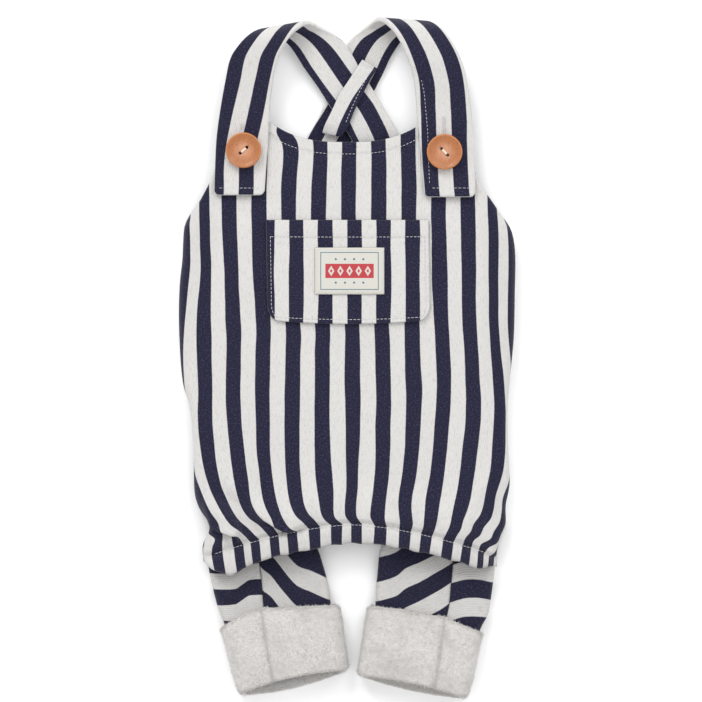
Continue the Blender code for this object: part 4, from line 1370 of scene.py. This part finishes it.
class GARMENT_OT_straps(bpy.types.Operator):
    """Add the crossed straps and their keeper"""

    bl_idname = "garment.straps"
    bl_label = "Straps"

    def execute(self, context):
        cloth = settings()[0]
        edge = finish_of("strap edge", cotton, cloth, 0.0, False)
        for side, rows in (("left", LEFT_STRAP), ("right", RIGHT_STRAP)):
            look = dict(STRAP_LOOKS[side])
            outside, inside = look.pop("faces")
            faces = [finish_of(f"{side} strap outside", cotton, cloth, outside),
                     finish_of(f"{side} strap inside", cotton, cloth, inside), edge]
            surface = ribbon_surface(rows, STRAP_COLUMNS, STRAP_BOW, corner=STRAP_CORNER, **look)
            piece = lay_cloth(f"{side}_strap", (20, 130), surface, faces, STRAP_WALL, offset=0.0,
                              flip=side == "right", smooth=1)
            finish_piece(piece, f"strap_{side}")
        keeper_cloth = finish_of("keeper cloth", cotton, cloth, KEEPER_STRIPES)
        surface = ribbon_surface(KEEPER, STRAP_COLUMNS, KEEPER_BOW)
        keeper = lay_cloth("keeper", (12, 40), surface, [keeper_cloth], KEEPER_WALL, offset=0.0, smooth=1)
        finish_piece(keeper, "strap_keeper")
        return {"FINISHED"}


# Each leg panel's stripes: a navy stripe's course in plan, the stripes' upright pitch and the cloth's lean
LEG_STRIPES = {
    ("left", "outer"): (((-78.0, -129.2), (-61.0, -129.2), (-57.0, -126.8), (-53.0, -124.4),
                         (-40.0, -123.8)), 17.4, 0.0),
    ("left", "inner"): (((-52.0, -102.0), (-46.5, -108.4), (-41.5, -112.2), (-38.2, -116.1), (-33.8, -121.6),
                         (-27.2, -128.7), (-19.5, -132.0), (-9.6, -136.4)), 22.5, 0.8),
    ("right", "inner"): (((12.0, -137.5), (19.0, -136.2), (27.8, -133.4), (32.2, -129.8), (39.9, -126.5),
                          (43.7, -124.6), (53.1, -119.6), (62.0, -113.6)), 20.9, -0.55),
    ("right", "outer"): (((50.0, -130.0), (57.5, -127.1), (64.6, -125.0), (72.3, -124.9), (79.5, -126.2),
                          (84.0, -127.4)), 20.0, 0.0),
}
LEG_CREASES = {
    "left": ((-62.0, -122.0, 14.0, 3.0, 70.0, 0.8), (-30.0, -124.0, 18.0, 4.0, -50.0, 0.9),
             (-44.0, -126.0, 14.0, 2.4, 80.0, -0.7)),
    "right": ((62.0, -124.0, 14.0, 3.0, 95.0, 0.7), (36.0, -122.0, 18.0, 4.0, 40.0, 0.9),
              (50.0, -122.0, 12.0, 2.4, 80.0, -0.7)),
}
LEG_PAINTED_SHADE = 0.86          # painted shade: the legs' cloth is made darker than the front's, for the shade under the casing
LEG_CUTS = {     # panel, whether it has the outer fold, width and area of its cut in metres
    "left": (("outer", True, 0.055, 0.0036), ("inner", False, 0.074, 0.0046)),
    "right": (("outer", True, 0.055, 0.0034), ("inner", False, 0.078, 0.0052)),
}


class GARMENT_OT_legs(bpy.types.Operator):
    """Add the two panels of each leg"""

    bl_idname = "garment.legs"
    bl_label = "Legs"

    def execute(self, context):
        # The legs' cotton is a darker copy of the front's: painted shade under the casing.
        leg_cloth = finish_of("leg cotton", cotton, settings()[0], 0.0, True, LEG_PAINTED_SHADE)
        for side, rows in (("left", LEFT_LEG), ("right", RIGHT_LEG)):
            for place, outer_side, width, area in LEG_CUTS[side]:
                surface = leg_surface(rows, LEG_SEAM[side], outer_side, LEG_CREASES[side],
                                      *LEG_STRIPES[side, place])
                piece = lay_cloth(f"{side}_leg_{place}", (70, 80), surface, [leg_cloth], LEG_WALL,
                                  flip=(side == "left") != outer_side)
                finish_piece(piece, f"leg_{side}_{place}")
        return {"FINISHED"}


CUFF_SEAMS = {"left": (10.9, 10.6), "right": (11.0, 12.0)}
CUFF_BRIMS = {    # how far the top edge stands up along the cuff: x and rise
    "left": ((-69.0, 0.0), (-61.0, 2.9), (-53.0, 5.6), (-46.0, 6.6), (-38.0, 5.0), (-29.4, 3.9),
             (-16.0, 2.0), (-4.0, 0.0)),
    "right": ((12.0, 0.0), (21.0, 1.0), (32.0, 2.1), (45.0, 2.1), (54.6, 3.0), (60.0, 1.3), (74.0, -1.4)),
}
CUFF_DENTS = {
    "left": ((-44.0, -180.0, 14.0, 5.0, 20.0, -1.0), (-20.0, -160.0, 22.0, 10.0, 10.0, 0.7),
             (-52.0, -160.0, 16.0, 8.0, 80.0, 0.5)),
    "right": ((56.0, -182.0, 12.0, 5.0, -20.0, -1.2), (30.0, -160.0, 22.0, 10.0, -10.0, 0.7)),
}
TUFTS = 10000
TUFT_BUNCH = 100
TUFT_LENGTH = 1.8
TUFT_RADIUS = 0.12
TUFT_LEAN = 0.55
TUFT_SEAT = 0.3          # share of a tuft's length by which its middle stands over the cloth
TUFT_FLOOR = 1.2         # no tufts below this height over the table
TUFT_UPRIGHT = 4.0       # no tufts that point down below this height
EDGE_TUFTS = 0.17        # share of the tufts that stand along each edge
EDGE_BAND = 0.05         # share of the cuff that those tufts take
EDGE_REACH = 0.06        # share of the cuff from which tufts point past the edge


def brush_up(name, surface, material, outward):
    """Short leaning fibres over a cuff, closer together along its two edges."""
    draw = np.random.default_rng(7)
    u = draw.uniform(-1.0, 1.0, TUFTS)
    v = draw.uniform(0.0, 1.0, TUFTS)
    edge = draw.uniform(0.0, 1.0, TUFTS)
    v = np.where(edge < EDGE_TUFTS, v * EDGE_BAND, np.where(edge > 1 - EDGE_TUFTS, 1 - v * EDGE_BAND, v))
    step = 0.004
    places = (u, v), (u + step, v), (u, v + step)
    here, beside, ahead = (np.stack(surface(*place)[:3], axis=1) for place in places)
    along_v = ahead - here
    out, along_v = (side / np.maximum(np.linalg.norm(side, axis=1, keepdims=True), 1e-9)
                    for side in (np.cross(beside - here, along_v) * outward, along_v))
    past = np.where(v < EDGE_REACH, -1.0, np.where(v > 1 - EDGE_REACH, 1.0, 0.0))[:, None]
    way = out * 0.5 + along_v * past * 0.8 + draw.normal(0.0, TUFT_LEAN, (TUFTS, 3))
    way[:, 2] = np.where(here[:, 2] < TUFT_UPRIGHT, np.abs(way[:, 2]), way[:, 2])
    length = TUFT_LENGTH * draw.uniform(0.5, 1.1, TUFTS)
    pile = bmesh.new()
    for first in range(0, TUFTS, TUFT_BUNCH):
        bunch = bmesh.new()
        for i in range(first, first + TUFT_BUNCH):
            if here[i][2] < TUFT_FLOOR:
                continue
            lean = Vector(way[i]).to_track_quat("Z", "Y").to_matrix().to_4x4()
            where = Matrix.Translation(Vector(here[i]) * MM) @ lean
            where = where @ Matrix.Translation((0.0, 0.0, length[i] * TUFT_SEAT * MM))
            bmesh.ops.create_cone(bunch, cap_ends=True, segments=3, radius1=TUFT_RADIUS * MM, radius2=0.0,
                                  depth=length[i] * MM, matrix=where)
        part = bpy.data.meshes.new("bunch")
        bunch.to_mesh(part)
        bunch.free()
        pile.from_mesh(part)
        bpy.data.meshes.remove(part)
    return new_object(name, pile, [material])


class GARMENT_OT_cuffs(bpy.types.Operator):
    """Add the fleece cuffs"""

    bl_idname = "garment.cuffs"
    bl_label = "Cuffs"

    def execute(self, context):
        finish = settings()[1]
        # The inside is a darker copy of the fleece: painted shade.
        faces = [finish_of(name, fleece, finish, light)
                 for name, light in (("white fleece", 1.0), ("fleece inside", 0.95))]
        for side, rows in (("left", LEFT_CUFF), ("right", RIGHT_CUFF)):
            looks = (table[side] for table in (CUFF_SEAMS, CUFF_DENTS, CUFF_BRIMS, CUFF_SLANTS))
            surface = cuff_surface(rows, *looks)
            piece = lay_cloth(f"{side}_cuff", (150, 48), surface, faces, FLEECE_WALL, closed=True,
                              flip=side == "right", smooth=1)
            finish_piece(piece, f"cuff_{side}")
            pile = brush_up(f"{side}_pile", surface, finish_of("fleece pile", tuft_finish, finish),
                            1 if side == "left" else -1)
            finish_piece(pile)
        return {"FINISHED"}


BUTTON_PROFILE = (
    (0.0, 2.9), (3.0, 2.94), (5.2, 3.08), (7.0, 3.42), (8.2, 3.84), (8.75, 4.08), (9.1, 4.14), (9.45, 3.95),
    (9.68, 3.5), (9.73, 2.7), (9.68, 1.9), (9.3, 1.1), (8.4, 0.35), (7.4, 0.05), (0.0, 0.0),
)
BUTTON_TURNS = 72
HOLE_RADIUS = 0.9
HOLE_STEP = 4.6
DRILL_LENGTH = 14.0
STRAND_RADIUS = 0.3
STRAND_HALF = 0.41 * HOLE_STEP
STRAND_HEIGHT = 3.15
STRAND_OVER = 0.1          # how far the middle strand lies over the other two
CREAM = (1.2, 1.0, 0.8)    # the button thread's colour against the other thread


def button_seat(x, y):
    """Height of the strap's top under a button."""
    seat = front_height(math.copysign(STRAP_INNER_X, x), y - BUTTON_RADIUS)
    return float(seat) + STRAP_LIFT + STRAP_CLOTH + SEAM


def drilled(piece, context):
    """Cut a turned piece's holes through it."""
    cutters = []
    for hole in (-1, 1):
        drill = bmesh.new()
        bmesh.ops.create_cone(drill, cap_ends=True, segments=24, radius1=HOLE_RADIUS * MM,
                              radius2=HOLE_RADIUS * MM, depth=DRILL_LENGTH * MM,
                              matrix=Matrix.Translation(Vector((hole * HOLE_STEP / 2, 0, 0)) * MM))
        cutters.append(new_object(f"{piece.name}_hole", drill, []))
        cut = piece.modifiers.new("hole", "BOOLEAN")
        cut.operation, cut.object = "DIFFERENCE", cutters[-1]
    ready = bpy.data.meshes.new_from_object(piece.evaluated_get(context.evaluated_depsgraph_get()))
    piece.modifiers.clear()
    piece.data = ready
    for cutter in cutters:
        bpy.data.objects.remove(cutter)


class GARMENT_OT_buttons(bpy.types.Operator):
    """Add the wooden buttons with their thread"""

    bl_idname = "garment.buttons"
    bl_label = "Buttons"

    def execute(self, context):
        finish = settings()[1]
        for side, (x, y, turn) in BUTTONS.items():
            stand = Matrix.Translation(Vector((x, y, button_seat(x, y))) * MM)
            stand = stand @ Matrix.Rotation(math.radians(turn), 4, "Z")
            bm = bmesh.new()
            points = [bm.verts.new(Vector((r, 0.0, z)) * MM) for r, z in BUTTON_PROFILE]
            for a, b in zip(points, points[1:]):
                bm.edges.new((a, b))
            bmesh.ops.spin(bm, geom=bm.verts[:] + bm.edges[:], cent=(0, 0, 0), axis=(0, 0, 1),
                           angle=2 * math.pi, steps=BUTTON_TURNS, use_merge=True)
            bmesh.ops.remove_doubles(bm, verts=bm.verts, dist=0.00001)
            bmesh.ops.recalc_face_normals(bm, faces=bm.faces)
            turned = finish_of(f"{side} button wood", wood, finish, (x, y))
            piece = new_object(f"{side}_button", bm, [turned])
            drilled(piece, context)
            piece.data.transform(stand)
            piece.data.shade_smooth()
            finish_piece(piece, f"button_{side}")
            bm = bmesh.new()
            for strand in (-1, 0, 1):
                size = Matrix.Diagonal((1.0, 1.0, STRAND_HALF / STRAND_RADIUS, 1.0))
                place = Vector((0.0, strand * STRAND_RADIUS, STRAND_HEIGHT + STRAND_OVER * (strand == 0)))
                where = stand @ Matrix.Translation(place * MM)
                bmesh.ops.create_uvsphere(bm, u_segments=10, v_segments=8, radius=STRAND_RADIUS * MM,
                                          matrix=where @ Matrix.Rotation(math.pi / 2, 4, "Y") @ size)
            cream = finish_of("button thread", thread, [c * t for c, t in zip(finish.thread, CREAM)])
            finish_piece(new_object(f"{side}_button_thread", bm, [cream]))
        return {"FINISHED"}


NECK_SEWN = (-43.0, 43.0)
HEM_SEWN = (-72.0, 77.0)
BUTTONHOLES = ((-57.0, 126.6, 130.4), (53.4, 124.6, 134.0))        # x, low and high
BUTTONHOLE_HALF = 0.55
LABEL_CORNERS = ((-1, -1), (1, -1), (1, 1), (-1, 1), (-1, -1))
STRAP_END_INSET = 2.6
STRAP_END_Y = 94.6
STRAP_EDGE_PATH = ((40.4, 156.0), (42.6, 146.0), (44.4, 126.0), (45.4, 97.0))
KEEPER_PATH = ((13.2, 159.0), (9.2, 151.5), (5.6, 144.7), (2.4, 137.5), (-0.4, 130.5))


def surface_stitches(name, runs):
    """One piece that joins several runs of stitches, each of a kind, a path and a surface's height."""
    bm = bmesh.new()
    for kind, path, height in runs:
        sew(bm, path, height, *SEWING[kind])
    finish_piece(new_object(name, bm, [thread_finish()]))


def over_front(rise):
    """Height of what lies on the front, by how much it rises over the front's own cloth."""
    return lambda x, y: front_height(x, y) + wrinkle_height(x, y) + rise


def on_hem(x, y):
    """Height of the stitch line between front and casing."""
    return front_height(x, np.maximum(y, hem_edge(x))) - 0.25


def on_strap(x, y):
    """Height of a strap's top where it lies on the bib."""
    rows = (LEFT_STRAP if x[0] < 0 else RIGHT_STRAP)[:5]
    seats = [front_height(row[2], row[3]) + STRAP_LIFT + STRAP_CLOTH / 2 if row[5] is None else row[5]
             for row in rows]
    return np.interp(y, [row[3] for row in rows], seats) + STRAP_CLOTH / 2 + 0.12


def on_keeper(x, y):
    """Height of the keeper's level stretch."""
    return np.full_like(x, KEEPER[5][4] + 0.95)


class GARMENT_OT_stitching(bpy.types.Operator):
    """Add the topstitching"""

    bl_idname = "garment.stitching"
    bl_label = "Stitching"

    def execute(self, context):
        across = np.linspace(*NECK_SEWN, 60)
        neck = np.stack([across, neck_edge(across) - NECK_STITCH], axis=1)
        surface_stitches("neck_stitching", [("neck", neck, over_front(0.2))])

        across = np.linspace(*HEM_SEWN, 120)
        hem = np.stack([across, hem_edge(across) - 0.5], axis=1)
        surface_stitches("hem_stitching", [("hem", hem, on_hem)])

        height = POCKET_TOP - POCKET_LOW
        u = np.linspace(-1.0, 1.0, 40) * (1 - POCKET_STITCH / POCKET_HALF)
        down = np.linspace(1.0, POCKET_STITCH / height, 30)
        paths = [(np.full_like(down, u[0]), down), (np.full_like(down, u[-1]), down),
                 (u, np.full_like(u, down[-1])), (u, np.full_like(u, 1 - POCKET_HEM / height))]
        on_pocket = over_front(SEAM + POCKET_CLOTH + 0.35)
        paths = [np.stack(pocket_place(*path)[:2], axis=1) for path in paths]
        surface_stitches("pocket_stitching", [("pocket", path, on_pocket) for path in paths])

        w, h = LABEL_WIDTH / 2 - LABEL_STITCH, LABEL_HEIGHT / 2 - LABEL_STITCH
        corners = [(LABEL_X + a * w, LABEL_Y + b * h) for a, b in LABEL_CORNERS]
        on_label = over_front(2 * SEAM + POCKET_CLOTH + LABEL_CLOTH)
        sides = zip(corners, corners[1:])
        surface_stitches("label_stitching", [("label", side, on_label) for side in sides])

        strap_runs = []
        for rows in (LEFT_STRAP, RIGHT_STRAP):
            outer, inner = rows[0][0], rows[0][2]
            inset = math.copysign(STRAP_END_INSET, inner - outer)
            path = ((outer + inset, STRAP_END_Y), (inner - inset, STRAP_END_Y))
            strap_runs.append(("strap end", path, on_strap))
        for x, low, high in BUTTONHOLES:
            for side in (x - BUTTONHOLE_HALF, x + BUTTONHOLE_HALF):
                strap_runs.append(("buttonhole", ((side, low), (side, high)), on_strap))
        strap_runs += [("strap edge", STRAP_EDGE_PATH, on_strap), ("keeper", KEEPER_PATH, on_keeper)]
        surface_stitches("strap_stitching", strap_runs)
        return {"FINISHED"}


LIGHTS = (       # name, place, size and share of the key light's power
    ("key", (-0.9, 2.1, 1.9), 1.2, 1.0),
    ("fill", (1.1, 1.5, 2.3), 1.6, 0.5),
)
TABLE_DROP = 0.0003
TABLE_HALF = 4.0


class GARMENT_OT_stage(bpy.types.Operator):
    """Add the table, the lights and the camera"""

    bl_idname = "garment.stage"
    bl_label = "Stage"

    def execute(self, context):
        stage = settings()[2]
        scene = context.scene
        bm = bmesh.new()
        bmesh.ops.create_grid(bm, x_segments=1, y_segments=1, size=TABLE_HALF)
        bmesh.ops.translate(bm, vec=(0.0, 0.0, -TABLE_DROP), verts=bm.verts)
        table = new_object("table", bm, [plain("white table", stage.table, 0.6)])
        world = bpy.data.worlds.new("soft sky")
        world.use_nodes = True
        sky = world.node_tree.nodes["Background"]
        sky.inputs["Color"].default_value = (1.0, 1.0, 1.0, 1.0)
        sky.inputs["Strength"].default_value = stage.sky
        scene.world = world
        for name, place, size, share in LIGHTS:
            light = bpy.data.lights.new(name, "AREA")
            light.shape, light.size, light.energy = "DISK", size, stage.key * share
            lamp = bpy.data.objects.new(name, light)
            lamp.location = place
            lamp.rotation_euler = (-Vector(place)).to_track_quat("-Z", "Y").to_euler()
            scene.collection.objects.link(lamp)
        camera = bpy.data.cameras.new("overhead")
        camera.lens = camera.sensor_width * stage.camera_height / stage.view_width
        camera.clip_end = 20.0
        eye = bpy.data.objects.new("overhead", camera)
        eye.location = (stage.centre[0], stage.centre[1], stage.camera_height)
        scene.collection.objects.link(eye)
        scene.camera = eye
        scene.view_settings.view_transform = "Standard"
        return {"FINISHED"}


class GARMENT_PT_panel(bpy.types.Panel):
    """Lists the garment's pieces and settings"""

    bl_idname = "GARMENT_PT_panel"
    bl_label = "Bib Dungarees"
    bl_space_type = "VIEW_3D"
    bl_region_type = "UI"
    bl_category = "Dungarees"

    def draw(self, context):
        for group in settings():
            box = self.layout.box()
            for name in group.bl_rna.properties.keys():
                if name not in ("rna_type", "name"):
                    box.prop(group, name)
        for operator in OPERATORS:
            self.layout.operator(operator.bl_idname)


OPERATORS = (GARMENT_OT_stage, GARMENT_OT_body, GARMENT_OT_pocket, GARMENT_OT_straps, GARMENT_OT_legs,
             GARMENT_OT_cuffs, GARMENT_OT_buttons, GARMENT_OT_stitching)
GROUPS = {"dungarees_cloth": DungareesCloth, "dungarees_finish": DungareesFinish,
          "dungarees_stage": DungareesStage}


def register():
    for kind in (*GROUPS.values(), *OPERATORS, GARMENT_PT_panel):
        bpy.utils.register_class(kind)
    for name, kind in GROUPS.items():
        setattr(bpy.types.Scene, name, bpy.props.PointerProperty(type=kind))


def unregister():
    for name in GROUPS:
        delattr(bpy.types.Scene, name)
    for kind in reversed((*GROUPS.values(), *OPERATORS, GARMENT_PT_panel)):
        bpy.utils.unregister_class(kind)


def main():
    register()
    for operator in OPERATORS:
        group, name = operator.bl_idname.split(".")
        getattr(getattr(bpy.ops, group), name)()


if __name__ == "__main__":
    main()
